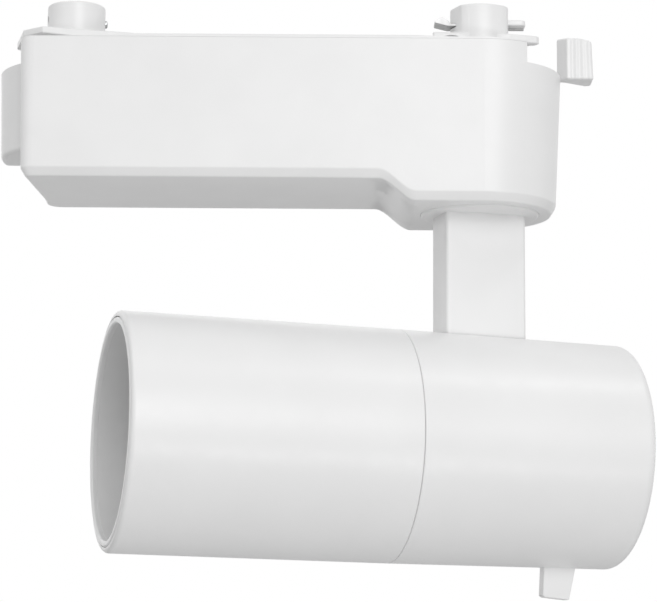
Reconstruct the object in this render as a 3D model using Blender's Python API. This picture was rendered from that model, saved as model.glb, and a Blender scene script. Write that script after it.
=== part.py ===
"""Track spotlight: adaptor box with driver, two turning track posts, panning stem, tilting head.

Origin: middle of the adaptor's flat top, midway between the posts. +X runs along the adaptor to
the contact post, +Y is the adaptor's back, +Z is up into the track.
"""
import math

import bmesh
import bpy
from mathutils import Matrix, Vector

MM = 0.001
QUARTER_TURN = math.radians(90.0)

# Clearances
GAP = 0.3 * MM
FINE_GAP = 0.1 * MM
RUNNING_GAP = 0.55 * MM

# Adaptor box; reaches are measured from the nearer post's axis
POST_SPACING = 96.9 * MM
ADAPTOR_WIDTH = 39.2 * MM
LEFT_REACH = 10.85 * MM
NECK_REACH = 10.15 * MM
SHALLOW_DEPTH = 33.6 * MM
DEEP_DEPTH = 39.0 * MM
STEP_RUN = 13.0 * MM
COLLAR_MARGIN = 0.35 * MM
CORNER_RADIUS = 3.2 * MM
LEAST_CORNER = 0.5 * MM
EDGE_FILLET = 2.0 * MM
END_DRAFT = 0.7 * MM
WALL = 2.0 * MM
NECK_WALL = 1.2 * MM
SHALLOW_FLOOR = 2.4 * MM
DEEP_FLOOR = 4.0 * MM
BOSS_RADIUS = 12.6 * MM
BOSS_REACH = 6.6 * MM
BOSS_HEIGHT = 20.0 * MM

# Lid
LID_EDGE = 0.8 * MM
LID_THICKNESS = 2.4 * MM
LID_RECESS = 0.4 * MM
LAND_MARGIN = 2.45 * MM
LID_SCREW_SETBACK = 7.0 * MM
LID_SCREW_INSET = 6.0 * MM
LID_SCREW_LENGTH = 9.0 * MM
LID_SCREW_RADIUS = 1.3 * MM
LID_BOSS_RADIUS = 3.0 * MM
SCREW_HEAD_RATIO = 2.0
SCREW_HEAD_HEIGHT = 1.5 * MM

# Track posts
POST_RADIUS = 6.9 * MM
POST_TOP = 11.4 * MM
POST_CHAMFER = 0.8 * MM
NECK_STEP = 1.9 * MM
KEY_REACH = 1.2 * MM
KEY_HALF_WIDTH = 1.2 * MM
CLIP_GROOVE = 1.0 * MM
CLIP_THICKNESS = 0.6 * MM
CLIP_WIDTH = 1.8 * MM
CLIP_MOUTH = 5.0 * MM
WING_REACH = 14.0 * MM
WING_INSET = 0.2 * MM
WING_THICKNESS = 2.0 * MM
CONTACT_WING_BASE = 2.9 * MM
LATCH_WING_BASE = 1.4 * MM
LATCH_TURN = math.radians(30.0)
LATCH_PIN_RADIUS = 1.0 * MM
LATCH_PIN_HEIGHT = 7.8 * MM
LATCH_PIN_PROUD = 0.5 * MM
CONTACT_REACH = 11.0 * MM
CONTACT_WIDTH = 4.0 * MM
CONTACT_STRIP = 0.6 * MM
CONTACT_BASE = 7.1 * MM
CONTACT_HEIGHT = 2.5 * MM
CONTACT_NOSE = 1.0 * MM
CONTACT_FOLD = 1.2 * MM
CONTACT_TAIL_INSET = 1.4 * MM
CONTACT_TAIL = 3.0 * MM
TAIL_CLEARANCE = 0.6 * MM
TAB_REACH = 10.4 * MM
TAB_THICKNESS = 1.5 * MM

# Levers
LEVER_ANGLE = math.radians(14.0)
LATCH_LEVER_ANGLE = math.radians(112.0)
HUB_WALL = 2.6 * MM
HUB_THICKNESS = 2.3 * MM
LEVER_CLEARANCE = 0.5 * MM
ARM_HALF_WIDTH = 3.0 * MM
ARM_OVERLAP = 1.5 * MM
GRIP_SETOUT = 2.2 * MM
GRIP_LENGTH = 6.5 * MM
GRIP_HALF_WIDTH = 3.65 * MM
GRIP_TOP = 6.7 * MM
GRIP_RIBS = 4
RIB_DEPTH = 0.6 * MM
RIB_FLANK = 0.3 * MM
LEVER_SCREW_LENGTH = 7.0 * MM
SWEEP_MARGIN_AT_END = math.radians(24.0)
SWEEP_MARGIN_AT_SIDE = math.radians(14.0)

# Driver, laid out along the board from the transformer
BOARD_MARGIN = 1.1 * MM
BOARD_THICKNESS = 1.6 * MM
BOARD_LEFT_END = 7.5 * MM
BOARD_RIGHT_END = 5.5 * MM
PART_SPACING = 2.0 * MM
STANDOFF_HEIGHT = 3.0 * MM
STANDOFF_RADIUS = 2.4 * MM
STANDOFF_INSET = 3.0 * MM
BOARD_SCREW_RADIUS = 1.0 * MM
BOARD_SCREW_LENGTH = 3.6 * MM
TRANSFORMER_X = -7.0 * MM
TRANSFORMER_LENGTH = 17.0 * MM
TRANSFORMER_WIDTH = 14.0 * MM
TRANSFORMER_HEIGHT = 13.0 * MM
CORE_OVERHANG = 1.5 * MM
CORE_HEIGHT = 6.0 * MM
CAPACITOR_RADIUS = 4.5 * MM
CAPACITOR_HEIGHT = 14.0 * MM
CHOKE_RADIUS = 4.0 * MM
CHOKE_WAIST = 3.2 * MM
CHOKE_RIM = 1.8 * MM
CHOKE_HEIGHT = 9.0 * MM
LEAD_RADIUS = 0.8 * MM
LEAD_SPREAD = 2.6 * MM
LEAD_RISE = 6.4 * MM
LEAD_DROP = 4.8 * MM
OUTPUT_LEAD_RADIUS = 1.2 * MM
CABLE_RADIUS = 2.0 * MM
CABLE_BEND = 6.0 * MM

# Pan bearing
PAN_ANGLE = math.radians(15.0)
COLLAR_RADIUS = 14.1 * MM
COLLAR_THICKNESS = 1.0 * MM
COLLAR_PROUD = 0.2 * MM
STOP_PIN_RADIUS = 0.9 * MM
STOP_PIN_HEIGHT = 1.0 * MM
STOP_INSET = 3.1 * MM
STOP_HALF_ANGLE = math.radians(4.0)
BUSH_COVER = 1.5 * MM
BUSH_SINK = 6.0 * MM
BUSH_RISE = 8.0 * MM
CABLE_PLAY = 0.6 * MM
PAN_NUT_WALL = 3.0 * MM
PAN_NUT_HEIGHT = 3.0 * MM
PAN_WASHER_LIP = 1.0 * MM
PAN_WASHER_THICKNESS = 1.0 * MM

# Stem
STEM_WIDTH = 19.7 * MM
STEM_DEPTH = 11.0 * MM
STEM_EDGE = 0.7 * MM
STEM_EDGE_SEGMENTS = 2

# Tilt bearing
PIVOT_DROP = 94.85 * MM
TILT_REST = math.radians(1.1)
PIN_RADIUS = 2.5 * MM
PIN_HEAD_LIP = 1.7 * MM
PIN_HEAD_HEIGHT = 2.0 * MM
NUT_HEIGHT = 2.4 * MM
WASHER_LIP = 2.5 * MM
WASHER_THICKNESS = 0.4 * MM
CHEEK_THICKNESS = 2.0 * MM
YOKE_MARGIN = 1.96 * MM
YOKE_REAR = 9.0 * MM
YOKE_EDGE = 2.9 * MM
YOKE_SCREW_MARGIN = 4.1 * MM
YOKE_SCREW_OFFSET = 4.2 * MM
YOKE_SCREW_RADIUS = 1.3 * MM
LEAD_MARGIN = 3.3 * MM

# Head shell; reaches are measured along the head from the tilt axis
FRONT_REACH = 87.5 * MM
REAR_REACH = 33.65 * MM
BARREL_RADIUS = 27.5 * MM
BARREL_TAPER = 0.1 * MM
BARREL_WALL = 1.5 * MM
SEAM_STEP = 0.3 * MM
REAR_TAPER = 0.4 * MM
REAR_WALL = 2.0 * MM
REAR_PLATE = 2.5 * MM
REAR_FILLET = 2.0 * MM
SPIGOT_LENGTH = 7.0 * MM
SPIGOT_WALL = 1.8 * MM
RIM_CHAMFER = 0.4 * MM

# Optics
RING_RECESS = 0.4 * MM
RING_LENGTH = 4.0 * MM
RING_WALL = 1.4 * MM
RING_CHAMFER = 0.8 * MM
BAFFLE_LENGTH = 25.5 * MM
BAFFLE_WALL = 1.2 * MM
BAFFLE_LIP = 2.4 * MM
GASKET_THICKNESS = 1.2 * MM
GASKET_WIDTH = 2.2 * MM
GLASS_THICKNESS = 2.5 * MM
OPTIC_RIM = 3.7 * MM
REFLECTOR_FLANGE = 1.5 * MM
REFLECTOR_WALL = 1.2 * MM

# Light source and heat sink
LED_BOARD_SIZE = 17.0 * MM
LED_BOARD_THICKNESS = 1.2 * MM
EMITTER_RADIUS = 4.8 * MM
EMITTER_THICKNESS = 0.7 * MM
EMITTER_MARGIN = 1.4 * MM
THROAT_MARGIN = 1.3 * MM
HOLDER_THICKNESS = 2.6 * MM
HOLDER_SCREW_RADIUS = 1.1 * MM
HOLDER_SCREW_MARGIN = 4.7 * MM
HOLDER_EDGE = 3.3 * MM
THERMAL_PAD_THICKNESS = 0.5 * MM
SINK_BASE = 5.5 * MM
SINK_SETBACK = 1.5 * MM
SINK_BLIND = 1.2 * MM
SINK_SCREW_RADIUS = 1.2 * MM
SINK_SCREW_LENGTH = 11.0 * MM
FIN_LENGTH = 22.0 * MM
FIN_THICKNESS = 1.2 * MM
FIN_PITCH = 2.6 * MM
FIN_OFFSET = 2.5 * MM
FIN_MARGIN = 0.5 * MM
FIN_SHELL_GAP = 1.7 * MM
LUG_MARGIN = 1.3 * MM
LUG_HALF_WIDTH = 3.0 * MM
LUG_LENGTH = 8.0 * MM

# Aiming tab
TAB_FRONT = 15.0 * MM
TAB_TOP_LENGTH = 8.5 * MM
TAB_TIP_LENGTH = 6.9 * MM
TAB_DROP = 7.1 * MM
TAB_WIDTH = 3.0 * MM
TAB_SLANT = 0.7 * MM
TAB_SCREW_RADIUS = 0.9 * MM
TAB_SCREW_LENGTH = 6.0 * MM

# Facets
HEAD_FACETS = 56
POST_FACETS = 24
SMALL_FACETS = 10
NUT_SIDES = 6
CORNER_STEPS = 4
SLOPE_STEPS = 6
END_STEPS = 14
FILLET_STEPS = 2
SWEEP_STEPS = 12
WING_STEPS = 6
GROOVE_STEPS = 36
STEM_FOOT_STEPS = 20
REAR_FILLET_STEPS = 3
REFLECTOR_STEPS = 6
SHARP_ANGLE = math.radians(30.0)

# Pieces on which many cuts meet edge on edge
HEAVILY_CUT = ("adaptor_housing", "adaptor_lid", "contact_post", "led_holder", "stem")

# Adaptor places that follow from the sizes above
RIGHT_X = POST_SPACING / 2
LEFT_X = -POST_SPACING / 2
HALF_WIDTH = ADAPTOR_WIDTH / 2
ADAPTOR_LEFT = LEFT_X - LEFT_REACH
NECK_RIGHT = RIGHT_X + NECK_REACH
STEP_END = RIGHT_X - COLLAR_RADIUS - COLLAR_MARGIN
STEP_START = STEP_END - STEP_RUN
SEAM_TOP = -LID_EDGE - GAP
LID_LAND = RIGHT_X - WING_REACH - LAND_MARGIN
LID_SCREW_X = LID_LAND - LID_SCREW_SETBACK
LID_SCREW_Y = HALF_WIDTH - LID_SCREW_INSET
POST_NECK_RADIUS = POST_RADIUS - NECK_STEP
CLIP_INNER = POST_RADIUS - CLIP_GROOVE + GAP
CLIP_TOP = -LID_RECESS - GAP
CLIP_LOW = CLIP_TOP - CLIP_THICKNESS
WING_HALF_WIDTH = POST_RADIUS - WING_INSET
CONTACT_TAIL_OFFSET = POST_NECK_RADIUS - CONTACT_TAIL_INSET
LEVER_SCREW_RADIUS = (CONTACT_TAIL_OFFSET - TAIL_CLEARANCE) / SCREW_HEAD_RATIO
HUB_RADIUS = POST_NECK_RADIUS + HUB_WALL
HUB_TOP = -LID_THICKNESS - GAP
HUB_BOTTOM = HUB_TOP - HUB_THICKNESS
TAIL_FOOT = HUB_BOTTOM - CONTACT_TAIL
GRIP_INNER = HALF_WIDTH + GRIP_SETOUT
LEDGE_DEPTH = -HUB_BOTTOM + LEVER_CLEARANCE
LATCH_LEVER_START = LATCH_LEVER_ANGLE - LATCH_TURN
LEVER_SWEEP_RIGHT = (
    LEVER_ANGLE - SWEEP_MARGIN_AT_END,
    LEVER_ANGLE + QUARTER_TURN + SWEEP_MARGIN_AT_SIDE,
)
LEVER_SWEEP_LEFT = (
    LATCH_LEVER_START - SWEEP_MARGIN_AT_SIDE,
    LATCH_LEVER_START + QUARTER_TURN + SWEEP_MARGIN_AT_END,
)

# Driver places
BOARD_WIDTH = 2 * (LID_SCREW_Y - LID_BOSS_RADIUS - BOARD_MARGIN)
BOARD_BOTTOM = -SHALLOW_DEPTH + SHALLOW_FLOOR + STANDOFF_HEIGHT + GAP
BOARD_TOP = BOARD_BOTTOM + BOARD_THICKNESS
BOARD_SEAT = BOARD_TOP + GAP
CAPACITOR_OFFSET = TRANSFORMER_LENGTH / 2 + PART_SPACING + CAPACITOR_RADIUS
CAPACITOR_PLACES = (TRANSFORMER_X - CAPACITOR_OFFSET, TRANSFORMER_X + CAPACITOR_OFFSET)
CHOKE_X = CAPACITOR_PLACES[0] - CAPACITOR_RADIUS - PART_SPACING - CHOKE_RADIUS
BOARD_LEFT = CHOKE_X - CHOKE_RADIUS - BOARD_LEFT_END
BOARD_RIGHT = CAPACITOR_PLACES[1] + CAPACITOR_RADIUS + BOARD_RIGHT_END

# Pan and tilt bearing places
DEEP_INSIDE = -DEEP_DEPTH + DEEP_FLOOR
COLLAR_BOTTOM = -DEEP_DEPTH - COLLAR_PROUD
COLLAR_TOP = COLLAR_BOTTOM + COLLAR_THICKNESS
STOP_CIRCLE = COLLAR_RADIUS - STOP_INSET
STEM_TOP = COLLAR_BOTTOM - GAP
BUSH_RADIUS = STEM_DEPTH / 2 - BUSH_COVER
BUSH_BORE = CABLE_RADIUS + CABLE_PLAY
BUSH_TOP = DEEP_INSIDE + BUSH_RISE
PAN_NUT_RADIUS = BUSH_RADIUS + PAN_NUT_WALL
PAN_WASHER_RADIUS = PAN_NUT_RADIUS + PAN_WASHER_LIP
PIN_HEAD_RADIUS = PIN_RADIUS + PIN_HEAD_LIP
WASHER_RADIUS = PIN_RADIUS + WASHER_LIP
CHEEK_INNER = STEM_DEPTH / 2 + WASHER_THICKNESS + 2 * GAP
CHEEK_OUTER = CHEEK_INNER + CHEEK_THICKNESS
YOKE_SCREW_HEIGHT = LED_BOARD_SIZE / 2 + YOKE_SCREW_MARGIN
YOKE_HALF_HEIGHT = YOKE_SCREW_HEIGHT + YOKE_EDGE
CABLE_EXIT_HEIGHT = LED_BOARD_SIZE / 2 + LEAD_MARGIN

# Head places
SLOT_HALF_WIDTH = STEM_DEPTH / 2 + RUNNING_GAP
STEM_SWING = STEM_WIDTH / 2 + RUNNING_GAP
SLOT_FRONT = -(STEM_SWING + BARREL_RADIUS * math.tan(TILT_REST))
SEAM_REACH = STEM_SWING + YOKE_MARGIN + CHEEK_THICKNESS + GAP + SINK_BASE + SINK_SETBACK
BARREL_REAR_RADIUS = BARREL_RADIUS - BARREL_TAPER
BARREL_BORE = BARREL_RADIUS - BARREL_WALL
REAR_RADIUS = BARREL_REAR_RADIUS - SEAM_STEP
REAR_END_RADIUS = REAR_RADIUS - REAR_TAPER
REAR_BORE = REAR_RADIUS - REAR_WALL
OPTIC_RADIUS = BARREL_BORE - GAP
SPIGOT_RADIUS = BARREL_BORE - GAP
SINK_FRONT = -SEAM_REACH + SINK_SETBACK
SINK_REAR = SINK_FRONT + SINK_BASE
LED_BACK = SINK_FRONT - THERMAL_PAD_THICKNESS - 2 * GAP
HOLDER_BACK = LED_BACK - LED_BOARD_THICKNESS - GAP
HOLDER_FRONT = HOLDER_BACK - HOLDER_THICKNESS
HOLDER_BORE = EMITTER_RADIUS + EMITTER_MARGIN
HOLDER_SCREW_PLACE = LED_BOARD_SIZE / 2 + HOLDER_SCREW_MARGIN
HOLDER_RADIUS = HOLDER_SCREW_PLACE + HOLDER_EDGE
LUG_PLACE = SPIGOT_RADIUS - SPIGOT_WALL - SINK_SCREW_RADIUS * SCREW_HEAD_RATIO - LUG_MARGIN
FIN_FIRST = CHEEK_OUTER + NUT_HEIGHT + FIN_OFFSET
FIN_ROOM = LUG_PLACE - LUG_HALF_WIDTH - FIN_THICKNESS / 2 - FIN_MARGIN - FIN_FIRST
FIN_COUNT = max(math.floor(FIN_ROOM / FIN_PITCH) + 1, 0)
FIN_OUTERMOST = FIN_FIRST + FIN_PITCH * (FIN_COUNT - 1) + FIN_THICKNESS / 2
FIN_HALF_HEIGHT = math.sqrt((REAR_BORE - FIN_SHELL_GAP) ** 2 - FIN_OUTERMOST**2)
RING_FRONT = -FRONT_REACH + RING_RECESS
RING_BORE = OPTIC_RADIUS - RING_WALL
BAFFLE_FRONT = RING_FRONT + RING_LENGTH + GAP
BAFFLE_REAR = BAFFLE_FRONT + BAFFLE_LENGTH
GASKET_FRONT = BAFFLE_REAR + GAP
GLASS_FRONT = GASKET_FRONT + GASKET_THICKNESS + GAP
REFLECTOR_FRONT = GLASS_FRONT + GLASS_THICKNESS + GAP
REFLECTOR_BACK = HOLDER_FRONT - GAP
REFLECTOR_MOUTH = OPTIC_RADIUS - OPTIC_RIM
REFLECTOR_THROAT = HOLDER_BORE + THROAT_MARGIN
TAB_MIDDLE = TAB_FRONT + TAB_TIP_LENGTH / 2

ALONG_X = Matrix.Rotation(QUARTER_TURN, 4, "Y")
ALONG_Y = Matrix.Rotation(-QUARTER_TURN, 4, "X")
UPRIGHT = Matrix.Rotation(QUARTER_TURN, 4, "X")


def clear_scene():
    for old in list(bpy.data.objects):
        bpy.data.objects.remove(old, do_unlink=True)


def finish(name, colour, roughness, metallic=0.0, transmission=0.0):
    """A Principled material for one kind of surface."""
    made = bpy.data.materials.new(name)
    made.use_nodes = True
    shader = made.node_tree.nodes["Principled BSDF"]
    shader.inputs["Base Color"].default_value = (*colour, 1.0)
    shader.inputs["Roughness"].default_value = roughness
    shader.inputs["Metallic"].default_value = metallic
    shader.inputs["Transmission Weight"].default_value = transmission
    return made


def axis_empty(name, location, turn, parent=None):
    """A joint axis: an empty that its moving pieces hang from."""
    empty = bpy.data.objects.new(name, None)
    bpy.context.scene.collection.objects.link(empty)
    empty.location = location
    empty.rotation_euler = turn
    empty.parent = parent
    return empty


def piece(name, shape, surface, parent=None):
    """One named solid from a bmesh."""
    bmesh.ops.recalc_face_normals(shape, faces=shape.faces)
    mesh = bpy.data.meshes.new(name)
    shape.to_mesh(mesh)
    shape.free()
    mesh.shade_smooth()
    mesh.set_sharp_from_angle(angle=SHARP_ANGLE)
    mesh.materials.append(surface)
    made = bpy.data.objects.new(name, mesh)
    bpy.context.scene.collection.objects.link(made)
    made.parent = parent
    return made


def combine(target, shape, operation):
    """Cut a shape out of a piece, or fuse it on, with a Boolean."""
    count = len(target.modifiers)
    tool = piece(f"{target.name}_tool{count}", shape, target.data.materials[0], target.parent)
    tool.hide_render = True
    tool.display_type = "WIRE"
    boolean = target.modifiers.new(f"{operation.lower()}_{count}", "BOOLEAN")
    boolean.operation = operation
    boolean.solver = "MANIFOLD" if target.name in HEAVILY_CUT else "EXACT"
    boolean.object = tool


def cut(target, shape):
    combine(target, shape, "DIFFERENCE")


def fuse(target, shape):
    combine(target, shape, "UNION")


def block(shape, low, high, place=Matrix()):
    """A box between two corners."""
    middle = (Vector(low) + Vector(high)) / 2
    size = Vector(high) - Vector(low)
    frame = place @ Matrix.Translation(middle) @ Matrix.Diagonal((*size, 1.0))
    bmesh.ops.create_cube(shape, size=1.0, matrix=frame)
    return shape


def turned(shape, profile, facets, place=Matrix()):
    """A closed profile of (radius, height) points turned about the local Z axis."""
    rings = []
    for radius, height in profile:
        count = facets if radius > 0 else 1
        angles = [2 * math.pi * step / facets for step in range(count)]
        points = [Vector((radius * math.cos(a), radius * math.sin(a), height)) for a in angles]
        rings.append([shape.verts.new(place @ point) for point in points])
    for ring, following in zip(rings, rings[1:] + rings[:1]):
        if len(ring) == 1 and len(following) == 1:
            continue
        for step in range(facets):
            other = (step + 1) % facets
            corners = [ring[step % len(ring)], ring[other % len(ring)]]
            corners += [following[other % len(following)], following[step % len(following)]]
            shape.faces.new(list(dict.fromkeys(corners)))
    return shape


def rod(shape, radius, low, high, facets=SMALL_FACETS, place=Matrix()):
    """A plain round bar along the local Z axis."""
    return turned(shape, [(0, high), (radius, high), (radius, low), (0, low)], facets, place)


def tube(shape, outer, inner, low, high, facets=POST_FACETS, place=Matrix()):
    """A plain ring or sleeve along the local Z axis."""
    profile = [(outer, high), (outer, low), (inner, low), (inner, high)]
    return turned(shape, profile, facets, place)


def screw(shape, radius, length, place, facets=SMALL_FACETS):
    """A headed screw: the head's underside at zero, the shank along -Z."""
    head = radius * SCREW_HEAD_RATIO
    profile = [(0, SCREW_HEAD_HEIGHT), (head, SCREW_HEAD_HEIGHT), (head, 0)]
    profile += [(radius, 0), (radius, -length), (0, -length)]
    return turned(shape, profile, facets, place)


def prism(shape, outline, low, high, place=Matrix()):
    """An outline of (x, y) points carried straight from one height to another."""
    bottom = [shape.verts.new(place @ Vector((x, y, low))) for x, y in outline]
    top = [shape.verts.new(place @ Vector((x, y, high))) for x, y in outline]
    shape.faces.new(bottom)
    shape.faces.new(top)
    for step in range(len(outline)):
        other = (step + 1) % len(outline)
        shape.faces.new([bottom[step], bottom[other], top[other], top[step]])
    return shape


def arc(centre, radius, start, end, steps):
    """Points along an arc, both ends included."""
    angles = [start + (end - start) * step / steps for step in range(steps + 1)]
    return [(centre[0] + radius * math.cos(a), centre[1] + radius * math.sin(a)) for a in angles]


def wire(name, route, radius, surface, parent=None):
    """A lead of round section along straight runs between points."""
    curve = bpy.data.curves.new(name, "CURVE")
    curve.dimensions = "3D"
    curve.bevel_depth = radius
    curve.bevel_resolution = 2
    curve.use_fill_caps = True
    spline = curve.splines.new("POLY")
    spline.points.add(len(route) - 1)
    for point, place in zip(spline.points, route):
        point.co = (*place, 1.0)
    curve.materials.append(surface)
    made = bpy.data.objects.new(name, curve)
    bpy.context.scene.collection.objects.link(made)
    made.parent = parent
    return made


def floor_height(x):
    """Underside of the adaptor: shallow on the left, eased down to the deep right part."""
    along = min(max((x - STEP_START) / STEP_RUN, 0.0), 1.0)
    eased = along * along * (3 - 2 * along)
    return -SHALLOW_DEPTH - (DEEP_DEPTH - SHALLOW_DEPTH) * eased


def inner_floor(x):
    """Floor inside the adaptor, thicker under the deep part."""
    return floor_height(x) + (DEEP_FLOOR if x > STEP_START else SHALLOW_FLOOR)


def level(height):
    """The same height all along the adaptor."""
    return lambda x: height


def above_floor(rise):
    """A height that follows the underside."""
    return lambda x: floor_height(x) + rise


def adaptor_half_outline(inset):
    """Front half of the plan outline, from the left wall round to the tip of the right end."""
    half = HALF_WIDTH - inset
    left = ADAPTOR_LEFT + inset
    corner = max(CORNER_RADIUS - inset, LEAST_CORNER)
    points = arc((left + corner, half - corner), corner, math.pi, math.pi / 2, CORNER_STEPS)
    points += [(STEP_START + STEP_RUN * step / SLOPE_STEPS, half) for step in range(SLOPE_STEPS + 1)]
    points += arc((RIGHT_X, 0.0), half, math.pi / 2, 0.0, END_STEPS)
    return points


def adaptor_body(shape, rings):
    """Loft of the plan outline: each ring gives its inset and its height as a function of x."""
    loops = []
    for inset, height in rings:
        half = adaptor_half_outline(inset)
        back = [shape.verts.new((x, y, height(x))) for x, y in half]
        front = [shape.verts.new((x, -y, height(x))) for x, y in half[:-1]]
        loops.append((back, front))
    for (back, front), (next_back, next_front) in zip(loops, loops[1:]):
        upper = back + front[::-1]
        lower = next_back + next_front[::-1]
        for step in range(len(upper)):
            other = (step + 1) % len(upper)
            shape.faces.new([upper[step], upper[other], lower[other], lower[step]])
    for back, front in (loops[0], loops[-1]):
        for step in range(len(front) - 1):
            shape.faces.new([back[step], back[step + 1], front[step + 1], front[step]])
        shape.faces.new([back[-2], back[-1], front[-1]])
    bmesh.ops.triangulate(shape, faces=shape.faces)
    return shape


def sweep_outline(centre_x, limits):
    """Sector that a lever's arm sweeps, drawn out past the housing wall."""
    reach = HALF_WIDTH + BOSS_REACH
    return [(centre_x, 0.0)] + arc((centre_x, 0.0), reach, *limits, SWEEP_STEPS)


def lid_screw_places():
    """Plan places of the four lid screws."""
    return [(x, y) for x in (-LID_SCREW_X, LID_SCREW_X) for y in (-LID_SCREW_Y, LID_SCREW_Y)]


def board_screw_places():
    """Two opposite corners of the board."""
    side = BOARD_WIDTH / 2 - STANDOFF_INSET
    return [(BOARD_LEFT + STANDOFF_INSET, side), (BOARD_RIGHT - STANDOFF_INSET, -side)]


def add_pillar(housing, place, radius, root, top, bore, depth):
    """A pillar on the housing's floor with a pilot hole for a screw."""
    fuse(housing, rod(bmesh.new(), radius, root, top, SMALL_FACETS, place))
    cut(housing, rod(bmesh.new(), bore + GAP, depth, POST_TOP, SMALL_FACETS, place))


def cut_pan_seat(housing):
    """Seat for the pan collar, throat for its bush, and the stop pin's groove broken by one stop."""
    place = Matrix.Translation((RIGHT_X, 0.0, 0.0))
    below = -DEEP_DEPTH * 2
    cut(housing, rod(bmesh.new(), COLLAR_RADIUS + GAP, below, COLLAR_TOP + GAP, HEAD_FACETS, place))
    cut(housing, rod(bmesh.new(), BUSH_RADIUS + GAP, below, DEEP_INSIDE + WALL, POST_FACETS, place))
    half_width = STOP_PIN_RADIUS + GAP
    start = STOP_HALF_ANGLE
    end = 2 * math.pi - STOP_HALF_ANGLE
    outline = arc((RIGHT_X, 0.0), STOP_CIRCLE + half_width, start, end, GROOVE_STEPS)
    outline += arc((RIGHT_X, 0.0), STOP_CIRCLE - half_width, end, start, GROOVE_STEPS)
    cut(housing, prism(bmesh.new(), outline, COLLAR_TOP, COLLAR_TOP + STOP_PIN_HEIGHT + GAP))


def make_housing(white):
    rings = [(0.0, level(SEAM_TOP))]
    for step in range(FILLET_STEPS + 1):
        turn = QUARTER_TURN * step / FILLET_STEPS
        inset = END_DRAFT + EDGE_FILLET * (1 - math.cos(turn))
        rings.append((inset, above_floor(EDGE_FILLET * (1 - math.sin(turn)))))
    housing = piece("adaptor_housing", adaptor_body(bmesh.new(), rings), white)
    past = HALF_WIDTH * 2
    low = (NECK_RIGHT, -past, -LEDGE_DEPTH)
    cut(housing, block(bmesh.new(), low, (RIGHT_X + past, past, POST_TOP)))
    place = Matrix.Translation((ADAPTOR_LEFT - BOSS_REACH + BOSS_RADIUS, 0.0, 0.0))
    bottom = -LEDGE_DEPTH - BOSS_HEIGHT
    fuse(housing, rod(bmesh.new(), BOSS_RADIUS, bottom, -LEDGE_DEPTH, POST_FACETS, place))
    roof = -LEDGE_DEPTH - WALL
    cut(housing, adaptor_body(bmesh.new(), [(WALL, level(roof)), (WALL + END_DRAFT, inner_floor)]))
    side = HALF_WIDTH - WALL
    low = (ADAPTOR_LEFT + WALL, -side, roof - WALL)
    cut(housing, block(bmesh.new(), low, (NECK_RIGHT - NECK_WALL, side, POST_TOP)))
    for centre_x, limits in ((RIGHT_X, LEVER_SWEEP_RIGHT), (LEFT_X, LEVER_SWEEP_LEFT)):
        outline = sweep_outline(centre_x, limits)
        cut(housing, prism(bmesh.new(), outline, -LEDGE_DEPTH + FINE_GAP, POST_TOP))
    sink = SHALLOW_FLOOR / 2
    for x, y in lid_screw_places():
        place = Matrix.Translation((x, y, 0.0))
        root = inner_floor(x) - sink
        depth = -LID_SCREW_LENGTH - LID_THICKNESS
        add_pillar(housing, place, LID_BOSS_RADIUS, root, HUB_TOP, LID_SCREW_RADIUS, depth)
    for x, y in board_screw_places():
        place = Matrix.Translation((x, y, 0.0))
        root = inner_floor(x) - sink
        depth = BOARD_TOP - BOARD_SCREW_LENGTH
        add_pillar(housing, place, STANDOFF_RADIUS, root, BOARD_BOTTOM - GAP, BOARD_SCREW_RADIUS, depth)
    cut_pan_seat(housing)


def make_lid(white):
    outline = adaptor_half_outline(0.0)
    outline = outline + [(x, -y) for x, y in outline[-2::-1]]
    lid = piece("adaptor_lid", prism(bmesh.new(), outline, -LID_EDGE, 0.0), white)
    past = HALF_WIDTH * 2
    low = (NECK_RIGHT, -past, -DEEP_DEPTH)
    cut(lid, block(bmesh.new(), low, (RIGHT_X + past, past, POST_TOP)))
    side = HALF_WIDTH - WALL - GAP
    low = (ADAPTOR_LEFT + WALL + GAP, -side, -LID_THICKNESS)
    fuse(lid, block(bmesh.new(), low, (NECK_RIGHT - NECK_WALL - GAP, side, -LID_EDGE / 2)))
    for left, right in ((ADAPTOR_LEFT - past, -LID_LAND), (LID_LAND, NECK_RIGHT + past)):
        cut(lid, block(bmesh.new(), (left, -past, -LID_RECESS), (right, past, POST_TOP)))
    for x in (LEFT_X, RIGHT_X):
        place = Matrix.Translation((x, 0.0, 0.0))
        pocket = CLIP_INNER + CLIP_WIDTH + GAP
        cut(lid, rod(bmesh.new(), pocket, CLIP_LOW - GAP, POST_TOP, POST_FACETS, place))
        cut(lid, rod(bmesh.new(), POST_RADIUS + GAP, -DEEP_DEPTH, POST_TOP, POST_FACETS, place))
    head = LID_SCREW_RADIUS * SCREW_HEAD_RATIO + GAP
    for x, y in lid_screw_places():
        place = Matrix.Translation((x, y, 0.0))
        cut(lid, rod(bmesh.new(), head, -SCREW_HEAD_HEIGHT - 2 * GAP, POST_TOP, SMALL_FACETS, place))
        cut(lid, rod(bmesh.new(), LID_SCREW_RADIUS + GAP, -DEEP_DEPTH, POST_TOP, SMALL_FACETS, place))


def make_lid_screws(steel):
    for number, (x, y) in enumerate(lid_screw_places(), 1):
        place = Matrix.Translation((x, y, -SCREW_HEAD_HEIGHT - GAP))
        shape = screw(bmesh.new(), LID_SCREW_RADIUS, LID_SCREW_LENGTH, place)
        piece(f"lid_screw_{number}", shape, steel)


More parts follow.
